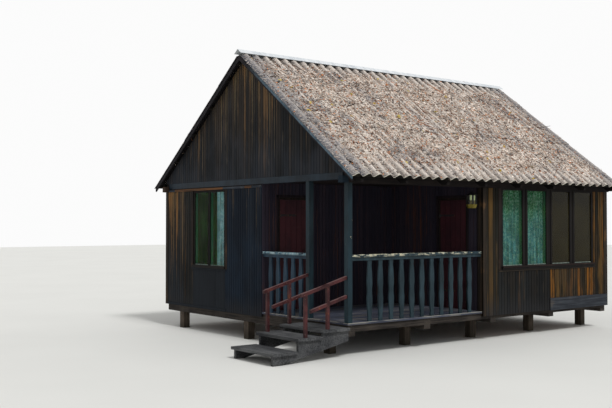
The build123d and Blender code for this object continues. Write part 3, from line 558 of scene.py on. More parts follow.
# The gables: the same boards cut to the slopes, tan and orange near the ridge.
PITCH, EAVE_Y, EAVE_Z, BATTEN_DEPTH = math.radians(36.5), -2.889, 2.584, 0.040
under_battens = {
    "ridge": EAVE_Z - EAVE_Y * math.tan(PITCH) - BATTEN_DEPTH / math.cos(PITCH), "fall": math.tan(PITCH)}
clad("near_gable_boards", LEFT, X_PORCH, (Y_PORCH, Y_REAR, 2.662, 4.7, gable_boards, 0.0), **under_battens)
clad("far_gable_boards", RIGHT, X_FAR, (Y_PORCH, Y_REAR, 2.600, 4.7, gable_boards, 0.10), **under_battens)


# Wall cores: the timber walls that the cladding is nailed to. Behind it they are near black, painted
# shade that shows in its joints; indoors they are plain sawn boards with a joint every 120 mm.
def wall_core_finish():
    finish = Finish("inner boards", Roughness=0.7)
    grain = finish.noise((50.0, 50.0, 1.5), 4.0)
    joint = finish.math("MAXIMUM", finish.off_middle(finish.x / 0.12), finish.off_middle(finish.y / 0.12))
    colour = finish.blend(grain, 0.3, 0.7, (88, 66, 44), (124, 98, 68))
    colour = finish.shade(colour, finish.ease(joint, 0.475, 0.49, 1.0, 0.5))
    inside = finish.ease(abs(finish.x), X_FAR - 0.065, X_FAR - 0.115)
    inside = inside * finish.ease(abs(finish.y), Y_REAR - 0.065, Y_REAR - 0.115)
    porch_side = finish.ease(finish.x, X_END + 0.06, X_END + 0.02)
    porch_side = porch_side * finish.ease(finish.y, Y_SIDE + 0.06, Y_SIDE + 0.02)
    # Away from the room the cores take the near black: painted shade for the joints between boards.
    colour = finish.mix(inside * (1 - porch_side), (24, 19, 20), colour)
    return finish.set(colour, height=grain, depth=0.001)


wear_material(
    wall_core_finish(), "eave_wall", "rear_wall", "gable_wall", "far_gable_wall", "near_gable", "far_gable",
    *(f"{side}_entry_wall_{part}" for side in ("side", "end") for part in ("left", "right", "head")))


# Trim: planed boards with eased edges, nailed over the cladding at corners, round the windows,
# along the foot and under the gables.
def piece_of(mesh, name, material=None):
    """The object of a mesh that was built up in bmesh, in its finish."""
    data = bpy.data.meshes.new(name)
    mesh.to_mesh(data)
    mesh.free()
    if material:
        data.materials.append(material)
    return put_in(name, data)


def trim(name, material, boxes, slot_name="dark_cladding", ease=0.003):
    """Planks with rounded edges, from pairs of opposite corners, as one piece."""
    mesh = bmesh.new()
    for low, high in boxes:
        low, high = Vector(low), Vector(high)
        made = bmesh.ops.create_cube(mesh, size=1.0)["verts"]
        bmesh.ops.scale(mesh, vec=high - low, verts=made)
        bmesh.ops.translate(mesh, vec=(low + high) / 2, verts=made)
    bmesh.ops.bevel(mesh, geom=list(mesh.edges), offset=ease, segments=2, affect="EDGES", profile=0.5)
    return belong(piece_of(mesh, name, material), slot_name)


def trim_finish(name, along, dark, light, faded, share):
    """One plank's weathered stain, with its grain along one axis."""
    finish = Finish(name, Roughness=0.75)
    scale = [48.0, 48.0, 48.0]
    scale["xyz".index(along)] = 1.5
    grain = finish.noise(scale, 4.0, rough=0.6)
    clouds = finish.noise(2.6, 4.0, at=(4, 2, 6), rough=0.6)
    colour = finish.blend(grain + clouds * 0.3, 0.5, 0.8, dark, light)
    colour = finish.blend(grain * 0.4 + clouds, 1.0 - share, 1.12 - share, colour, faded)
    return finish.set(colour, height=grain, depth=0.0025)


CASING_HEAD, CASING_WIDTH = 2.508, 0.060
corner_brown = trim_finish("corner board stain", "z", (25, 21, 18), (48, 39, 30), (78, 57, 36), 0.24)
trim("corner_boards", corner_brown, [
    ((x0, y0, BOARD_FOOT), (x1, y1, CASING_HEAD)) for x0, y0, x1, y1 in (
        (-0.299, -2.653, -0.281, -2.555), (-0.299, -2.653, -0.205, -2.635), (3.085, -2.653, 3.183, -2.635),
        (3.165, -2.653, 3.183, -2.570), (-3.183, 2.570, -3.165, 2.653), (-3.183, 2.635, -3.100, 2.653),
        (3.165, 2.570, 3.183, 2.653), (3.100, 2.635, 3.183, 2.653))])
casing_dark = trim_finish("casing stain", "z", (18, 14, 13), (39, 30, 25), (68, 50, 36), 0.2)
trim("window_casings", casing_dark, [
    ((LONG_CASING, -2.652, SILL_FOOT), (0.175, Y_PORCH, CASING_HEAD)),
    *(((-3.182, y, SMALL_SILL_FOOT), (X_PORCH, y + CASING_WIDTH, CASING_HEAD))
      for y in (GABLE_WINDOW[0] - CASING_WIDTH, GABLE_WINDOW[1])),
    *(((x, Y_REAR, SMALL_SILL_FOOT), (x + CASING_WIDTH, 2.652, CASING_HEAD))
      for x in (REAR_WINDOW[0] - CASING_WIDTH, REAR_WINDOW[1]))])


# Planks along the foot and head of the walls. The eave wall's skirt is grey-blue, and an orange
# ledge and a blue-grey band run under the gable beam.
skirt_grey = trim_finish("skirt stain", "x", (32, 35, 41), (56, 60, 66), (72, 68, 64), 0.24)
trim("eave_skirt", skirt_grey, [((SKIRT_START, -2.662, 0.405), (X_FAR, -2.655, SKIRT_TOP))])
under_sill = trim_finish("under sill stain", "x", (18, 17, 16), (40, 34, 28), (60, 50, 38), 0.2)
trim("eave_under_sill", under_sill, [((LONG_CASING, -2.658, 1.120), (2.790, Y_PORCH, SILL_FOOT))])

PANEL_FOOT, PANEL_HEAD = 0.455, 1.100
panel_brown = trim_finish("panel stain", "z", (8, 14, 21), (19, 25, 32), (44, 36, 36), 0.14)
side_grey = trim_finish("ledge stain", "y", (30, 35, 42), (56, 63, 72), (80, 82, 84), 0.3)
trim("gable_panel_rails", panel_brown, [
    ((-3.186, 0.560, BOARD_FOOT), (X_PORCH, 2.570, PANEL_FOOT)),
    ((-3.189, 0.560, PANEL_HEAD), (X_PORCH, 1.700, SMALL_SILL_FOOT))])
ledge_orange = trim_finish("ledge orange", "y", (62, 44, 32), (104, 70, 42), (76, 60, 48), 0.2)
trim("gable_ledge", ledge_orange, [
    ((-3.192, y0, GABLE_HEAD), (X_PORCH, y1, 2.548)) for y0, y1 in ((-0.220, -0.020), (0.650, 2.300))])
trim("gable_dark_ledge", side_grey, [
    ((-3.190, y0, GABLE_HEAD), (X_PORCH, y1, 2.546))
    for y0, y1 in ((Y_SIDE, -0.220), (-0.020, 0.650), (2.300, Y_REAR))])
trim("far_gable_ledge", side_grey, [((X_FAR, Y_PORCH, FAR_HEAD), (3.190, Y_REAR, 2.613))])
trim("gable_window_panel", panel_brown, [
    ((-3.178, y0, PANEL_FOOT), (X_PORCH, y1, PANEL_HEAD))
    for y0, y1 in ((GABLE_WINDOW[0], 0.905), (0.907, GABLE_WINDOW[1]))])

# The boards round the porch doors, two uprights and a head each.
DOOR_BOARD, DOOR_BOARD_DEPTH = 0.040, 0.022
door_boards = []
for outward, face, (start, end) in ((LEFT, X_END, END_DOOR), (FRONT, Y_SIDE, SIDE_DOOR)):
    for a0, a1, foot in (
            (start - DOOR_BOARD, start, PORCH_FOOT), (end, end + DOOR_BOARD, PORCH_FOOT),
            (start - DOOR_BOARD, end + DOOR_BOARD, DOOR_HEAD)):
        door_boards.append((
            on_wall(outward, a0, face - DOOR_BOARD_DEPTH, foot),
            on_wall(outward, a1, face, DOOR_HEAD + DOOR_BOARD)))
porch_stain = trim_finish("porch trim stain", "z", (16, 13, 18), (36, 26, 30), (58, 38, 36), 0.15)
trim("porch_trim", porch_stain, door_boards)
wear_material(aged_timber("plate timber", "x", (20, 17, 17), (38, 31, 29), 0.0, (58, 46, 38)), "eave_plates")
wear_material(casing_dark, "door_frames")


# Doors: plank doors on ledges, in dark red paint that hands and rain have dulled and boots have
# scuffed along the foot. They hang on straps.
def door_paint():
    finish = Finish("dark red door paint", Roughness=0.6)
    clouds = finish.noise((2.6, 2.6, 1.8), 4.0, rough=0.6)
    streak = finish.noise((60.0, 60.0, 2.0), 4.0, at=(3, 1, 2))
    colour = finish.blend(clouds + streak * 0.35, 0.48, 0.85, (44, 22, 29), (66, 30, 36))
    scuffs = finish.noise((22.0, 22.0, 12.0), 5.0, at=(5, 5, 1), rough=0.7)
    bare = finish.ease(scuffs, 0.66, 0.69)
    colour = finish.mix(bare, colour, (92, 70, 58))
    return finish.set(colour, Roughness=0.55 + bare * 0.3, height=streak * 0.5 - bare, depth=0.001)


wear_material(door_paint(), "side_door_leaf", "end_door_leaf")


# Hinges, pins and handles: forged iron once painted black, browned with rust, and screwed to the
# doors and their frames.
def iron_finish(name, rust_share, foot=None):
    """Dull black iron; whatever lies under the height foot is in ochre paint."""
    finish = Finish(name, Roughness=0.6, Metallic=0.3, Specular_IOR_Level=0.3)
    specks = finish.noise(60, 5.0, rough=0.7)
    clouds = finish.noise(14, 3.0, at=(2, 2, 2))
    rust = finish.ease(specks * 0.6 + clouds * 0.5, 0.62 - rust_share, 0.74 - rust_share)
    colour = finish.mix(rust, (28, 27, 30), (98, 60, 40))
    if foot is not None:
        ochre = finish.blend(specks, 0.4, 0.6, (84, 73, 15), (112, 100, 30))
        colour = finish.mix(finish.z < foot, colour, ochre)
    return finish.set(colour, Roughness=0.55 + rust * 0.35, height=specks, depth=0.0008)


wear_material(iron_finish("hinge iron", 0.06), "side_door_ironwork", "end_door_ironwork", "door_pintles")


# Porch lantern: a six-sided lamp of black iron with milky panes, on an ochre base. It hangs under
# the porch eave, by the corner of the eave wall.
LANTERN_X, LANTERN_Y, LANTERN_BASE, MILKY_FOOT = -0.481, -2.585, 2.232, 2.302


def milky_finish():
    finish = Finish("milky lantern glass", Roughness=0.35, Specular_IOR_Level=0.4)
    dust = finish.noise((30, 30, 12), 4.0)
    colour = finish.blend(dust, 0.35, 0.65, (166, 182, 128), (202, 218, 164))
    colour = finish.blend(finish.z + dust * 0.02, MILKY_FOOT + 0.010, MILKY_FOOT, colour, (84, 76, 36))
    turn = finish.math("ARCTAN2", finish.y - LANTERN_Y, finish.x - LANTERN_X) / (math.pi / 3)
    colour = finish.blend(finish.off_middle(turn), 0.20, 0.28, colour, (40, 42, 36))
    return finish.set(colour, Alpha=finish.ease(dust, 0.3, 0.7, 0.75, 0.9))


wear_material(iron_finish("lantern iron", 0.0, LANTERN_BASE), "porch_lantern")
wear_material(milky_finish(), "lantern_glass")


# Windows: dark stained frames, with a mitred sash in each light and a dusty pane behind a bead of
# putty, which has gone pale along the bottom.
frame_dark = trim_finish("frame stain", "z", (9, 7, 8), (22, 18, 16), (40, 32, 25), 0.14)


def frame_finish():
    """The frames' own stain outside, and the faces behind the glass in old green paint."""
    finish = Finish("window frame paint", Roughness=0.7)
    grain = finish.noise((48.0, 48.0, 1.5), 4.0, rough=0.6)
    outside = finish.blend(grain, 0.4, 0.7, (9, 7, 8), (26, 21, 18))
    indoors = finish.blend(grain, 0.4, 0.7, (58, 110, 84), (84, 132, 108))
    behind = finish.ease(abs(finish.y), Y_REAR - 0.013, Y_REAR - 0.018)
    behind = behind * finish.ease(abs(finish.x), X_FAR - 0.013, X_FAR - 0.018)
    return finish.set(finish.mix(behind, outside, indoors), height=grain, depth=0.0015)


wear_material(frame_finish(), "eave_window_frame", "gable_window_frame", "rear_window_frame")


def putty_finish():
    finish = Finish("old putty", Roughness=0.8)
    dust = finish.noise(30, 4.0)
    return finish.set(finish.blend(dust, 0.35, 0.65, (84, 98, 92), (136, 148, 140)), height=dust, depth=0.001)


def sash(name, centres, half, outward, face, foot, head, stile):
    """Mitred frames round panes; centres lie along the wall and face is the frame's front."""
    mesh = bmesh.new()
    profile = ((-0.001, stile), (0.010, stile - 0.003), (0.012, 0.006), (0.004, 0.0), (-0.007, -0.002))
    for centre in centres:
        rings = []
        for depth, reach in profile:
            a0, a1 = centre - half - reach, centre + half + reach
            z0, z1 = foot - reach, head + min(reach, 0.028)
            rings.append([
                mesh.verts.new(on_wall(outward, a, face + sum(outward) * depth, z))
                for a, z in ((a0, z0), (a1, z0), (a1, z1), (a0, z1))])
        for first, second in zip(rings, rings[1:] + rings[:1]):
            for i in range(4):
                mesh.faces.new((first[i], first[(i + 1) % 4], second[(i + 1) % 4], second[i]))
    bmesh.ops.recalc_face_normals(mesh, faces=mesh.faces)
    belong(piece_of(mesh, name, frame_dark), "window_timber")


def putty_bead(name, centres, half, outward, face, foot):
    """A bead of putty along the foot of each pane, a little shorter than it."""
    back, front = sorted(face - sum(outward) * depth for depth in (0.0025, 0.0075))
    reach = half - 0.0035
    trim(name, old_putty, [
        (on_wall(outward, c - reach, back, foot + 0.0015), on_wall(outward, c + reach, front, foot + 0.016))
        for c in centres], "window_timber", 0.002)


old_putty = putty_finish()
sill_red = trim_finish("sill stain", "x", (22, 15, 15), (42, 29, 26), (66, 52, 44), 0.22)
PANE_WIDTH, HALF_SMALL_PANE, FIRST_PANE = 0.505, 0.2255, 0.230
long_centres = [FIRST_PANE + PANE_WIDTH / 2]
for mullion in (0.142, 0.168, 0.142):
    long_centres.append(long_centres[-1] + PANE_WIDTH + mullion)
# Centres of the lights, half a pane, outward, the sash's face, the panes' foot and head, the stile.
windows = {
    "eave": (long_centres, PANE_WIDTH / 2, FRONT, -2.631, 1.212, 2.481, 0.048),
    "gable": ([1.124 - 0.261, 1.124 + 0.261], HALF_SMALL_PANE, LEFT, -3.161, 1.182, 2.472, 0.030),
    "rear": ([0.900 - 0.261, 0.900 + 0.261], HALF_SMALL_PANE, BACK, 2.631, 1.182, 2.472, 0.030)}
for side, measures in windows.items():
    sash(f"{side}_window_sashes", *measures)
for side, measures in windows.items():
    putty_bead(f"{side}_putty", *measures[:5])
sill_nose = ((0.182, -2.690, 1.186), (LONG_WINDOW_END, -2.650, 1.206))
trim("eave_sill_nose", sill_red, [sill_nose], "window_timber")


# Panes: old drawn glass with a film of dust, puttied into the sashes. Their green tint is painted
# reflection of greenery; the two far lights of the long window are browner and more solid, painted
# reflection over the shade of the room.
FAR_LIGHTS = 1.46


def pane_finish():
    finish = Finish("dusty pane", Roughness=0.12, IOR=1.5, Specular_IOR_Level=0.12)
    dust = finish.noise((5, 5, 3), 5.0, rough=0.65)
    # The green is painted reflection of greenery, mottled by the dust.
    painted_reflection = finish.blend(dust, 0.4, 0.7, (12, 48, 12), (48, 88, 34))
    # The browner far lights are painted reflection over the room's shade.
    brown = finish.blend(dust, 0.3, 0.8, (29, 24, 2), (36, 31, 5))
    far_lights = finish.ease(finish.x, FAR_LIGHTS, FAR_LIGHTS + 0.04) * finish.ease(finish.y, -2.0, -2.2)
    gable_side = finish.ease(finish.x, -3.0, -3.1)
    painted_reflection = finish.blend(finish.y, 2.0, 2.2, painted_reflection, (34, 44, 38))
    colour = finish.mix(far_lights, painted_reflection, brown)
    cover = finish.ease(dust, 0.35, 0.8, 0.16, 0.28) + far_lights * 0.66 + gable_side * 0.04
    return finish.set(colour, Alpha=cover)


wear_material(pane_finish(), "eave_window_glass", "gable_window_glass", "rear_window_glass")


# Curtains: sheer cotton hung in soft folds behind two lights of the long window and at the porch
# side of the gable window. Each is gathered from a flat piece about a seventh wider.
def curtain_finish(name, upper, lower, thread):
    """Lace of one colour at top and another at foot by the panel's map; painted fold shade and reflection."""
    finish = Finish(name, Roughness=0.9)
    flat = finish.node("ShaderNodeUVMap", {"uv_map": "cloth"}, {})
    across, up, _ = finish.split(flat)

    def net(scale, detail=3.0, **mapping):
        where = finish.node("ShaderNodeMapping", {}, {"Vector": flat, **mapping})
        sockets = {"Vector": where, "Scale": scale, "Detail": detail}
        return finish.node("ShaderNodeTexNoise", {}, sockets, "Fac")

    flowers = finish.ease(net(30.0), 0.48, 0.56)
    painted_fold_shade = net(1.0, 2.0, Scale=(22.0, 1.3, 1.0))
    clouds = net(3.0, Location=(4, 4, 0))
    colour = finish.blend(up + clouds * 0.5, 0.55, 1.25, lower, upper)
    colour = finish.mix(flowers * 0.5, colour, thread)
    # Darker and lighter vertical stripes: painted shade of the folds.
    colour = finish.shade(colour, finish.ease(painted_fold_shade, 0.40, 0.60, 0.66, 1.08))
    # Broad darker and lighter patches: painted reflection of trees on the glass in front.
    colour = finish.shade(colour, finish.ease(net(7.0, Location=(7, 1, 0)), 0.38, 0.60, 0.8, 1.14))
    weave = finish.math("SINE", across * 900.0) * finish.math("SINE", up * 900.0)
    return finish.set(colour, height=weave + flowers, depth=0.0008)


CURTAIN_HEAD, CURTAIN_REACH, SETBACK = 2.504, 0.280, 0.0643
FOLD_DEPTH, SECOND_FOLD, FULLNESS = 0.0138, 0.25, 1.25


def curtain(name, left, right, foot, outward, wall, material, slot_name, node_name, folds, phase):
    """One gathered panel between two places along the wall, hung behind the window's frame."""
    columns, rows, span, drop = 14 * folds, 26, right - left, CURTAIN_HEAD - foot
    mesh = bmesh.new()
    layer = mesh.loops.layers.uv.new("cloth")
    grid = []
    for row in range(rows + 1):
        v = row / rows
        grid.append([])
        for column in range(columns + 1):
            u = column / columns
            swell = math.sin(2 * math.pi * folds * u + phase + 0.5 * math.sin(5 * u + 2.2 * v))
            second = SECOND_FOLD * math.sin(4 * math.pi * folds * u + 1.3 + 3 * v)
            near_rod = 0.55 + 0.45 * min(1.0, (1 - v) * 2.2)
            out = wall + SETBACK + (0.0150 + FOLD_DEPTH * near_rod * (swell + second) / (1 + SECOND_FOLD))
            a = left + span * (u + 0.012 * math.sin(2 * math.pi * folds * u * 2 + phase))
            grid[-1].append(mesh.verts.new(on_wall(outward, a, out, foot + drop * v)))
    corners = ((0, 0), (1, 0), (1, 1), (0, 1))
    for row, column in itertools.product(range(rows), range(columns)):
        patch = mesh.faces.new([grid[row + j][column + i] for i, j in corners])
        for loop, (i, j) in zip(patch.loops, corners):
            loop[layer].uv = (span * FULLNESS * (column + i) / columns, (row + j) / rows)
        patch.smooth = True
    area = sum(f.calc_area() for f in mesh.faces)
    piece = belong(piece_of(mesh, name, material), slot_name, node_name)
    area / drop


green_lace = curtain_finish("green lace", (56, 122, 80), (84, 146, 150), (150, 198, 178))
blue_lace = curtain_finish("blue net", (150, 214, 222), (160, 220, 232), (214, 244, 250))
for number, centre in enumerate(long_centres[:2]):
    curtain(
        f"eave_curtain_{number + 1}", centre - CURTAIN_REACH, centre + CURTAIN_REACH, 1.184, FRONT, Y_PORCH,
        green_lace, "green_curtain", "eave_curtains", 6, number * 1.7)
curtain(
    "gable_curtain_panel", 0.6065, 0.9885, 1.168, LEFT, X_PORCH, blue_lace,
    "blue_curtain", "gable_curtain", 4, 0.4)


# The porch and room ceiling, and the rafters and battens under the sheets: sawn softwood, smoky
# brown, nailed together and never painted.
wear_material(aged_timber("ceiling boards", "x", (24, 19, 22), (48, 38, 37)), "ceiling")
wear_material(aged_timber("rafter timber", "y", (14, 12, 12), (30, 25, 24)), "roof_frame")
wear_material(aged_timber("batten timber", "x", (20, 18, 17), (44, 39, 31)), "battens")


# Barge boards: planks along the slopes, nailed to the battens' ends over each gable, near black with
# some grey-blue paint left. Along their lower edge the black is painted shadow.
def slope_places(finish):
    """Distance up the slope and over the sheets' bed, the same on both slopes."""
    out, rise = abs(EAVE_Y) - abs(finish.y), finish.z - EAVE_Z
    cos, sin = math.cos(PITCH), math.sin(PITCH)
    return out * cos + rise * sin, rise * cos - out * sin


def barge_finish():
    """Near black, grey-blue paint left on the porch slope's boards above a lower edge in painted shadow."""
    finish = Finish("barge board paint", Roughness=0.7)
    grain = finish.noise((40.0, 12.0, 12.0), 4.0)
    clouds = finish.noise(3.0, 4.0, at=(1, 6, 2), rough=0.6)
    black = finish.blend(grain + clouds * 0.4, 0.5, 0.9, (15, 14, 18), (33, 29, 33))
    blue = finish.blend(grain + clouds * 0.4, 0.5, 0.9, (58, 76, 88), (98, 118, 132))
    _, over = slope_places(finish)
    # Below over = -0.048 the boards stay black: a painted shadow along their lower edge.
    painted = finish.ease(finish.y, -0.15, -0.9) * finish.ease(over, -0.048, -0.036)
    return finish.set(finish.mix(painted, black, blue), height=grain, depth=0.0015)


wear_material(barge_finish(), "barge_boards")


# Ridge cap: one folded strip of galvanised steel, laid over the crests of both slopes and nailed
# through them. It is weathered pale, with a little rust and dirt.
def cap_finish():
    finish = Finish("weathered zinc", Roughness=0.45, Specular_IOR_Level=0.4)
    runs = finish.noise((14.0, 3.0, 3.0), 4.0, rough=0.6)
    spangle = finish.node("ShaderNodeTexVoronoi", {}, {"Vector": finish.place, "Scale": 60.0}, "Distance")
    colour = finish.blend(runs, 0.35, 0.65, (192, 198, 203), (220, 224, 227))
    colour = finish.shade(colour, finish.ease(spangle, 0.2, 0.7, 0.92, 1.0))
    rust = finish.ease(finish.noise(7, 5.0, at=(3, 4, 8), rough=0.7), 0.64, 0.70)
    colour = finish.mix(rust * 0.7, colour, (134, 98, 74))
    return finish.set(colour, Roughness=0.4 + rust * 0.4, height=spangle, depth=0.0004)


wear_material(cap_finish(), "ridge_cap")


# Roof sheets: grey fibre-cement with 200 mm waves, five waves to a sheet and 80 mm more that laps
# over the next, in three courses. They are nailed through the crests and stained by moss and needles.
WAVE, WAVE_HEIGHT, SHEET_THICKNESS = 0.200, 0.050, 0.006
ROOF_LENGTH, SLOPE_LENGTH = 6.6, -EAVE_Y / math.cos(PITCH)
TOP_COURSE, COURSE_LAP, COURSE_STEP, RIDGE_GAP = 0.774, 0.340, 0.0083, 0.045
COURSE_COVER = (SLOPE_LENGTH - TOP_COURSE) / 2
SHEET_COVER, SIDE_LAP, SHEETS_TO_A_COURSE = 1.0, 0.08, 7


def wave_of(graph, x):
    """Height of the wave at a place along the roof."""
    return (1.0 - graph.math("COSINE", (x + ROOF_LENGTH / 2) * (2 * math.pi / WAVE))) * (WAVE_HEIGHT / 2)


def to_slope(roof, shape):
    """Tips a flat course, X along the ridge and Y up the slope, onto the front slope."""
    return roof.shape("Transform", {
        0: shape, "Translation": (0.0, EAVE_Y, EAVE_Z), "Rotation": Euler((PITCH, 0.0, 0.0))})


def sheet_tree():
    """One course of corrugated sheets, each lapping over the next at its far side."""
    roof = Growth("corrugated course", {
        "Course Start": "Float", "Course Length": "Float", "Raise": "Float", "Cover": "Float",
        "Side Lap": "Float", "Seed": "Int", "Finish": "Material"})
    given = roof.given
    width = given["Cover"] + given["Side Lap"]
    blank = roof.shape("MeshGrid", {
        "Size X": width, "Size Y": given["Course Length"], "Vertices X": 55, "Vertices Y": 9})
    x, _, _ = roof.split(roof.shape("InputPosition", {}))
    half = given["Cover"] * 0.5
    lap_rise = roof.ease(x, half - 0.20, half - 0.04, top=SHEET_THICKNESS + 0.0004)
    blank = roof.shape("SetPosition", {0: blank, "Offset": roof.at(z=lap_rise)})
    first = roof.at(
        width * 0.5 - ROOF_LENGTH / 2, given["Course Start"] + given["Course Length"] * 0.5, given["Raise"])
    places = roof.line(SHEETS_TO_A_COURSE, first, roof.at(given["Cover"]))
    sheets = roof.shape("InstanceOnPoints", {"Points": places, "Instance": blank})
    sheets = roof.real(roof.mark(sheets, "tone", roof.chance(0.0, 1.0, given["Seed"])))
    sheets = roof.shape("DeleteGeometry", {0: sheets, "Selection": x > ROOF_LENGTH / 2}, domain="FACE")
    sheets = roof.shape("SetPosition", {0: sheets, "Offset": roof.at(z=wave_of(roof, x))})
    sheets = roof.shape("SetShadeSmooth", {0: sheets})
    return roof.end(roof.wear(to_slope(roof, sheets), given["Finish"]), given["Geometry"])


def strewn(finish, turn, at):
    """Noise drawn out into needle shapes, lying one way across the slope."""
    where = finish.node("ShaderNodeMapping", {"vector_type": "TEXTURE"}, {
        "Vector": finish.place, "Location": at, "Rotation": (0.0, 0.0, turn),
        "Scale": (0.050, 0.0055, 0.0055)})
    return finish.node("ShaderNodeTexNoise", {}, {"Vector": where, "Scale": 1.0, "Detail": 2.0}, "Fac")


def sheet_finish():
    finish = Finish("fibre cement", Roughness=0.9)
    tone = finish.own("tone")
    up, _ = slope_places(finish)
    wave = wave_of(finish, finish.x) / WAVE_HEIGHT
    clouds = finish.noise(1.4, 4.0, rough=0.6)
    # verge marks both ends of the roof, where the sheets are turned blue-grey as painted shade.
    verge = finish.ease(abs(finish.x) + clouds * 0.2, 2.86, 3.20)
    drips = finish.noise((16.0, 2.2, 2.2), 4.0, at=(3, 1, 1), rough=0.6)
    pores = finish.noise(90.0, 3.0, at=(1, 5, 2), rough=0.7)
    lichen = finish.noise(22.0, 5.0, at=(6, 2, 8), rough=0.7)
    colour = finish.blend(clouds + tone * 0.25, 0.45, 0.85, (146, 140, 137), (182, 172, 164))
    colour = finish.blend(drips, 0.5, 0.68, colour, (92, 88, 88), 0.6)
    # Pale crests are painted highlight; darker valleys, most under the ridge cap, are painted shade.
    crest_highlight = finish.ease(wave, 0.55, 0.95)
    colour = finish.mix(crest_highlight * finish.ease(pores, 0.35, 0.6), colour, (240, 230, 220))
    low = finish.ease(wave, 0.55, 0.15)
    shade_under_cap = finish.ease(up, SLOPE_LENGTH - 0.7, SLOPE_LENGTH - 0.3)
    colour = finish.mix(low * (shade_under_cap * 0.35 + 0.6), colour, (42, 38, 38))
    # Painted shade along the verges.
    colour = finish.mix(verge * 0.62, colour, (84, 92, 106))
    first, second = strewn(finish, 0.6, (2, 0, 0)), strewn(finish, -0.8, (5, 3, 0))
    colour = finish.blend(first, 0.55, 0.60, colour, (76, 60, 52), 0.75)
    colour = finish.blend(second, 0.57, 0.62, colour, (232, 220, 206), 0.8)
    colour = finish.blend(lichen, 0.64, 0.72, colour, (104, 100, 80))
    colour = finish.blend(lichen, 0.36, 0.30, colour, (112, 84, 66), 0.8)
    colour = finish.shade(colour, finish.ease(pores, 0.3, 0.5, 0.7, 1.0))
    edge = finish.ease(up, 0.012, 0.004)
    colour = finish.mix(edge, colour, (222, 216, 198))
    return finish.set(colour, height=pores * 0.6 + lichen * 0.4, depth=0.004)


corrugated = sheet_tree()
fibre_cement = sheet_finish()


def put_on_rear(piece):
    """Turns a front-slope piece half round, onto the rear slope, in its mesh."""
    piece.data.transform(Matrix.Rotation(math.pi, 4, "Z"))
    return piece


def course_steps(seed):
    for course in range(3):
        start = course * COURSE_COVER
        end = min(start + COURSE_COVER + COURSE_LAP, SLOPE_LENGTH - RIDGE_GAP)
        yield corrugated, {
            "Course Start": start, "Course Length": end - start, "Raise": course * COURSE_STEP,
            "Cover": SHEET_COVER, "Side Lap": SIDE_LAP, "Seed": seed + course, "Finish": fibre_cement}


# The broken corner of the lowest front sheet near the porch verge, cut out with ragged edges.
ragged = bmesh.new()
HOLE_UP, HOLE_X, HOLE_HEIGHT, HOLE_WIDTH, HOLE_CORNERS = 0.370, -3.120, 0.090, 0.074, 11
random.seed(4)
outline = []
for i in range(HOLE_CORNERS):
    turn = 2 * math.pi * i / HOLE_CORNERS
    reach = random.uniform(0.78, 1.12)
    along, up = HOLE_X + HOLE_WIDTH * reach * math.cos(turn), HOLE_UP + HOLE_HEIGHT * reach * math.sin(turn)
    outline.append((along, EAVE_Y + up * math.cos(PITCH), EAVE_Z + up * math.sin(PITCH)))
normal = Vector((0, -math.sin(PITCH), math.cos(PITCH)))
for depth in (-0.03, 0.10):
    ragged.faces.new([ragged.verts.new(Vector(place) + normal * depth) for place in outline])
bmesh.ops.bridge_loops(ragged, edges=ragged.edges)
bmesh.ops.recalc_face_normals(ragged, faces=ragged.faces)
broken_corner = piece_of(ragged, "broken corner")

thicken = ("SOLIDIFY", {"thickness": SHEET_THICKNESS, "offset": 1.0})
break_off = ("BOOLEAN", {"operation": "DIFFERENCE", "object": broken_corner, "solver": "EXACT"})
front_sheets = grow("front_sheets", [*course_steps(21), thicken, break_off])
bpy.data.objects.remove(broken_corner)
rear_sheets = put_on_rear(grow("rear_sheets", [*course_steps(51), thicken]))
# The sheets' downward faces wear near-black timber instead of their grey: painted shade.
painted_underside_shade = aged_timber("sheet underside", "y", (17, 15, 17), (32, 28, 29))
for piece, node_name in ((front_sheets, "roof_sheets_front"), (rear_sheets, "roof_sheets_rear")):
    piece.data.materials.append(painted_underside_shade)
    for face in piece.data.polygons:
        if face.normal.z < -0.2:
            face.material_index = len(piece.data.materials) - 1
    belong(piece, "roof_sheet", node_name)


# Roofing nails: dull iron, with broad round washers under low domed heads. They are driven through
# every second crest into the battens.
NAILS_TO_A_ROW = 17


def nail_tree():
    roof = Growth("row of nails", {
        "Row Start": "Vector", "Nail Step": "Float", "Count": "Int", "Finish": "Material"})
    given = roof.given
    washer = roof.shape("MeshCylinder", {"Vertices": 12, "Radius": 0.015, "Depth": 0.003})
    head = roof.shape("MeshUVSphere", {"Segments": 10, "Rings": 6, "Radius": 0.007})
    head = roof.shape("Transform", {0: head, "Scale": (1.0, 1.0, 0.6)})
    places = roof.line(given["Count"], given["Row Start"], roof.at(given["Nail Step"]))
    nails = roof.shape("InstanceOnPoints", {"Points": places, "Instance": roof.together(washer, head)})
    nails = roof.wear(to_slope(roof, roof.real(nails)), given["Finish"])
    return roof.end(nails, given["Geometry"])


nail_rows = nail_tree()
nail_iron = iron_finish("nail iron", 0.02)


def nail_steps():
    for course, up in ((0, 0.09), (1, 1.47), (2, 2.89), (2, SLOPE_LENGTH - 0.194)):
        top = WAVE_HEIGHT + SHEET_THICKNESS + course * COURSE_STEP
        yield nail_rows, {
            "Row Start": (WAVE / 2 - ROOF_LENGTH / 2, up, top), "Nail Step": 2 * WAVE,
            "Count": NAILS_TO_A_ROW, "Finish": nail_iron}


belong(grow("front_roof_nails", nail_steps()), "roof_sheet")
belong(put_on_rear(grow("rear_roof_nails", nail_steps())), "roof_sheet")


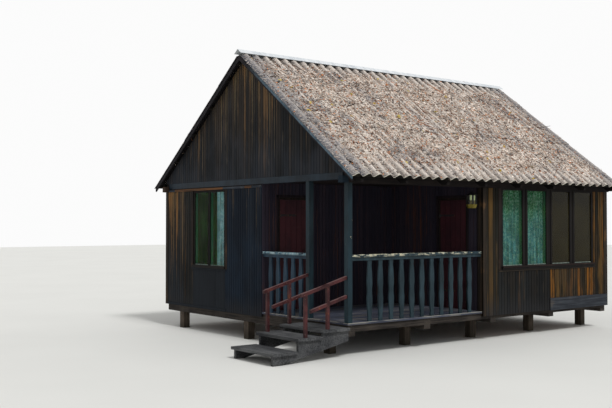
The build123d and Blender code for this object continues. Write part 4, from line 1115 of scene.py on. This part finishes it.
# Fallen pine needles: years of them lie matted in the waves of both slopes, thin along the eave and
# under the ridge cap, with loose pairs, bark, twigs, cones and a few yellow leaves on top.
def mat_finish():
    finish = Finish("needle mat", Roughness=0.95)
    first, second, third = (
        strewn(finish, turn, at) for turn, at in ((0.5, (0, 0, 0)), (-0.7, (3, 1, 0)), (1.4, (1, 5, 0))))
    clumps = finish.noise((26.0, 20.0, 20.0), 4.0, rough=0.6)
    clouds = finish.noise((1.3, 0.8, 0.8), 4.0, at=(4, 4, 4), rough=0.6)
    colour = finish.blend(first, 0.43, 0.55, (78, 62, 54), (230, 212, 196))
    colour = finish.blend(second, 0.48, 0.56, colour, (252, 244, 234))
    colour = finish.blend(third, 0.55, 0.62, colour, (128, 100, 84), 0.7)
    # Blue-grey patches, and bands along both verges: partly damp litter, mostly painted shade.
    damp = finish.math("MAXIMUM", finish.ease(clouds, 0.47, 0.64), finish.ease(abs(finish.x), 2.65, 3.15))
    colour = finish.mix(damp * 0.62, colour, (88, 92, 102))
    colour = finish.shade(colour, finish.ease(clumps, 0.38, 0.54, 0.26, 1.1))
    # Heaps of litter, lighter and darker; their brightening above the colour itself is painted highlight.
    heaps_with_painted_light = finish.noise((8.0, 6.0, 6.0), 3.0, at=(9, 2, 5), rough=0.6)
    colour = finish.shade(colour, finish.ease(heaps_with_painted_light, 0.40, 0.58, 0.7, 1.14))
    up, _ = slope_places(finish)
    # A dark line along each course lap: painted shadow of the step in the sheets.
    lap_shadow = finish.math("MINIMUM", *(abs(up - COURSE_COVER * lap - 0.01) for lap in (1, 2)))
    lap_shadow = finish.ease(lap_shadow, 0.026, 0.010) * finish.ease(heaps_with_painted_light, 0.44, 0.52)
    colour = finish.mix(lap_shadow * 0.8, colour, (40, 34, 32))
    return finish.set(colour, height=first * 0.5 + second * 0.5 + clumps, depth=0.014)


def scrap_finish(name, dark, middle, pale):
    """Loose scraps, each with its own tone from dark to pale."""
    finish = Finish(name, Roughness=0.85)
    tone = finish.own("tone")
    grain = finish.noise(200.0, 2.0)
    colour = finish.blend(tone, 0.0, 0.5, dark, middle)
    colour = finish.blend(tone, 0.5, 1.0, colour, pale)
    return finish.set(finish.shade(colour, grain * 0.4 + 0.8), height=grain, depth=0.0008)


def litter_tree():
    """The mat of needles over one slope laid flat, and loose scraps on it; Bare Place stays clear."""
    slope = Growth("fallen litter", {
        "Seed": "Int", "Bare Place": "Vector", "Mat": "Material", "Needles": "Material", "Bark": "Material",
        "Leaves": "Material"})
    given, ease = slope.given, slope.ease
    x, y, _ = slope.split(slope.shape("InputPosition", {}))
    flat = slope.at(x, y)

    def cloud(scale, shift):
        return slope.node("ShaderNodeTexNoise", {"noise_dimensions": "4D"}, {
            "Vector": flat, "W": given["Seed"] * 1.7 + shift, "Scale": scale, "Detail": 3.0}, "Fac") - 0.5

    bare = slope.vector("DISTANCE", flat, given["Bare Place"], out=1)
    drift = cloud(1.3, 20) * 0.5
    cover = ease(y + drift, -0.05, 0.62) * ease(SLOPE_LENGTH - y + drift, 0.10, 0.48) * ease(bare, 0.12, 0.27)
    cover = cover * ease(ROOF_LENGTH / 2 - abs(x) + drift * 0.35, 0.05, 0.40)
    wave = wave_of(slope, x)
    depth = cloud(1.2, 0) * 0.05 + cloud(6.0, 5) * 0.03 + cloud(28.0, 9) * 0.016 + 0.027
    level = cover * depth + wave * 0.45
    raised = ((y > COURSE_COVER) + (y > 2 * COURSE_COVER)) * COURSE_STEP + SHEET_THICKNESS
    grid = slope.shape("MeshGrid", {
        "Size X": ROOF_LENGTH - 0.03, "Size Y": SLOPE_LENGTH - 0.10, "Vertices X": 265, "Vertices Y": 63})
    grid = slope.shape("Transform", {0: grid, "Translation": (0.0, SLOPE_LENGTH / 2 - 0.02, 0.0)})

    def at_height(height):
        return slope.shape("SetPosition", {0: grid, "Position": slope.at(x, y, height)})

    mat = at_height(level + raised)
    thin = slope.math("MAXIMUM", level - wave < -0.003, cover < 0.05)
    mat = slope.shape("DeleteGeometry", {0: mat, "Selection": thin}, domain="FACE")
    mat = slope.wear(slope.shape("SetShadeSmooth", {0: mat}), given["Mat"])
    top = at_height(slope.math("MAXIMUM", level, wave) + raised + 0.001)
    bedded = (level - wave > -0.012) * 0.8 + 0.2
    drifted = ease(cloud(4.5, 31), -0.10, 0.10) * 1.1 + 0.35

    def strew(blank, density, shift, tilt, finish):
        """Drops copies of one scrap all over, each turned, leaned and sized by chance."""
        seed = given["Seed"] + shift
        points = slope.shape("DistributePointsOnFaces", {
            0: top, "Density": (cover * 0.6 + 0.4) * bedded * density, "Seed": seed}).socket.node.outputs
        scraps = slope.shape("InstanceOnPoints", {
            "Points": Reading(slope, points["Points"]), "Instance": blank,
            "Rotation": Reading(slope, points["Rotation"]), "Scale": slope.chance(0.7, 1.25, seed + 1)})
        turn = slope.node("FunctionNodeRandomValue", {"data_type": "FLOAT_VECTOR"}, {
            0: (-tilt, -tilt, -math.pi), 1: (tilt, tilt, math.pi), "Seed": seed + 2})
        scraps = slope.shape("RotateInstances", {0: scraps, "Rotation": turn})
        scraps = slope.mark(scraps, "tone", slope.chance(0.0, 1.0, seed + 3))
        return slope.wear(slope.real(scraps), finish)

    def stick(sides, thick, thin, length, lift, turn):
        cone = slope.shape("MeshCone", {
            "Vertices": sides, "Radius Bottom": thick, "Radius Top": thin, "Depth": length})
        return slope.shape("Transform", {0: cone, "Rotation": Euler((0.0, math.pi / 2 - lift, turn))})

    def disc(sides, radius, depth, stretch):
        made = slope.shape("MeshCylinder", {"Vertices": sides, "Radius": radius, "Depth": depth})
        return slope.shape("Transform", {0: made, "Scale": (*stretch, 1.0)})

    pair = slope.together(stick(3, 0.0030, 0.0, 0.075, 0.08, 0.10), stick(3, 0.0030, 0.0, 0.068, 0.02, -0.14))
    flake = disc(4, 0.014, 0.005, (1.3, 0.8))
    twig = slope.together(stick(5, 0.007, 0.003, 0.30, 0.0, 0.0), stick(4, 0.003, 0.001, 0.12, 0.25, 0.7))
    cone = slope.shape("MeshIcoSphere", {"Radius": 0.020, "Subdivisions": 2})
    leaf = disc(6, 0.034, 0.002, (1.2, 0.75))
    return slope.end(
        mat, given["Geometry"],
        strew(pair, 640.0 * drifted, 100, 0.30, given["Needles"]),
        strew(flake, 200.0, 200, 0.35, given["Bark"]),
        strew(twig, 1.6, 300, 0.08, given["Bark"]),
        strew(cone, 2.0, 400, 0.5, given["Bark"]),
        strew(leaf, 2.5, 500, 0.4, given["Leaves"]))


litter = litter_tree()
litter_finishes = {
    "Mat": mat_finish(),
    "Needles": scrap_finish("loose needles", (100, 74, 58), (206, 180, 160), (255, 246, 234)),
    "Bark": scrap_finish("bark scraps", (40, 31, 29), (112, 78, 60), (206, 136, 90)),
    "Leaves": scrap_finish("yellow leaves", (120, 96, 40), (176, 146, 52), (196, 176, 84))}
NOWHERE = (0.0, -9.0, 0.0)
tip = Matrix.Translation((0.0, EAVE_Y, EAVE_Z)) @ Matrix.Rotation(PITCH, 4, "X")
for name, seed, bare_place, turn in (
        ("front_needle_litter", 3, (HOLE_X, HOLE_UP, 0.0), 0.0), ("rear_needle_litter", 8, NOWHERE, math.pi)):
    piece = grow(name, [(litter, {"Seed": seed, "Bare Place": bare_place, **litter_finishes})])
    piece.data.transform(Matrix.Rotation(turn, 4, "Z") @ tip)
    belong(piece, "roof_sheet")


# The stage: a pale floor and soft light all round, with one broad lamp over the eave side. It isn't
# part of the cabin.
FLOOR_REACH, SKY_STRENGTH, BACKDROP_STRENGTH = 60, 0.58, 0.97


def stage_finish():
    finish = Finish("pale floor", Roughness=0.9)
    return finish.set(finish.mix(finish.noise(0.4, 2.0), (222, 222, 218), (230, 230, 226)))


floor_mesh = bpy.data.meshes.new("stage floor")
floor_corners = [(x * FLOOR_REACH, y * FLOOR_REACH, 0) for x, y in ((-1, -1), (1, -1), (1, 1), (-1, 1))]
floor_mesh.from_pydata(floor_corners, [], [(0, 1, 2, 3)])
floor_mesh.materials.append(stage_finish())
put_in("stage floor", floor_mesh)

SCENE.world = bpy.data.worlds.new("soft sky")
SCENE.world.use_nodes = True
sky = Graph(SCENE.world.node_tree)
rays = sky.node("ShaderNodeLightPath", {}, {}).socket.node.outputs
seen = sky.math("MAXIMUM", *(Reading(sky, rays[name]) for name in ("Is Camera Ray", "Is Glossy Ray")))
sky.feed(sky.tree.nodes["Background"], {
    "Strength": seen * (BACKDROP_STRENGTH - SKY_STRENGTH) + SKY_STRENGTH, "Color": (1.0, 1.0, 1.0, 1.0)})

lamp = bpy.data.lights.new("broad sun", "SUN")
lamp.energy, lamp.angle = 1.7, math.radians(12)
put_in("broad sun", lamp).rotation_euler = Euler([math.radians(v) for v in (38, 6, -12)], "XYZ")
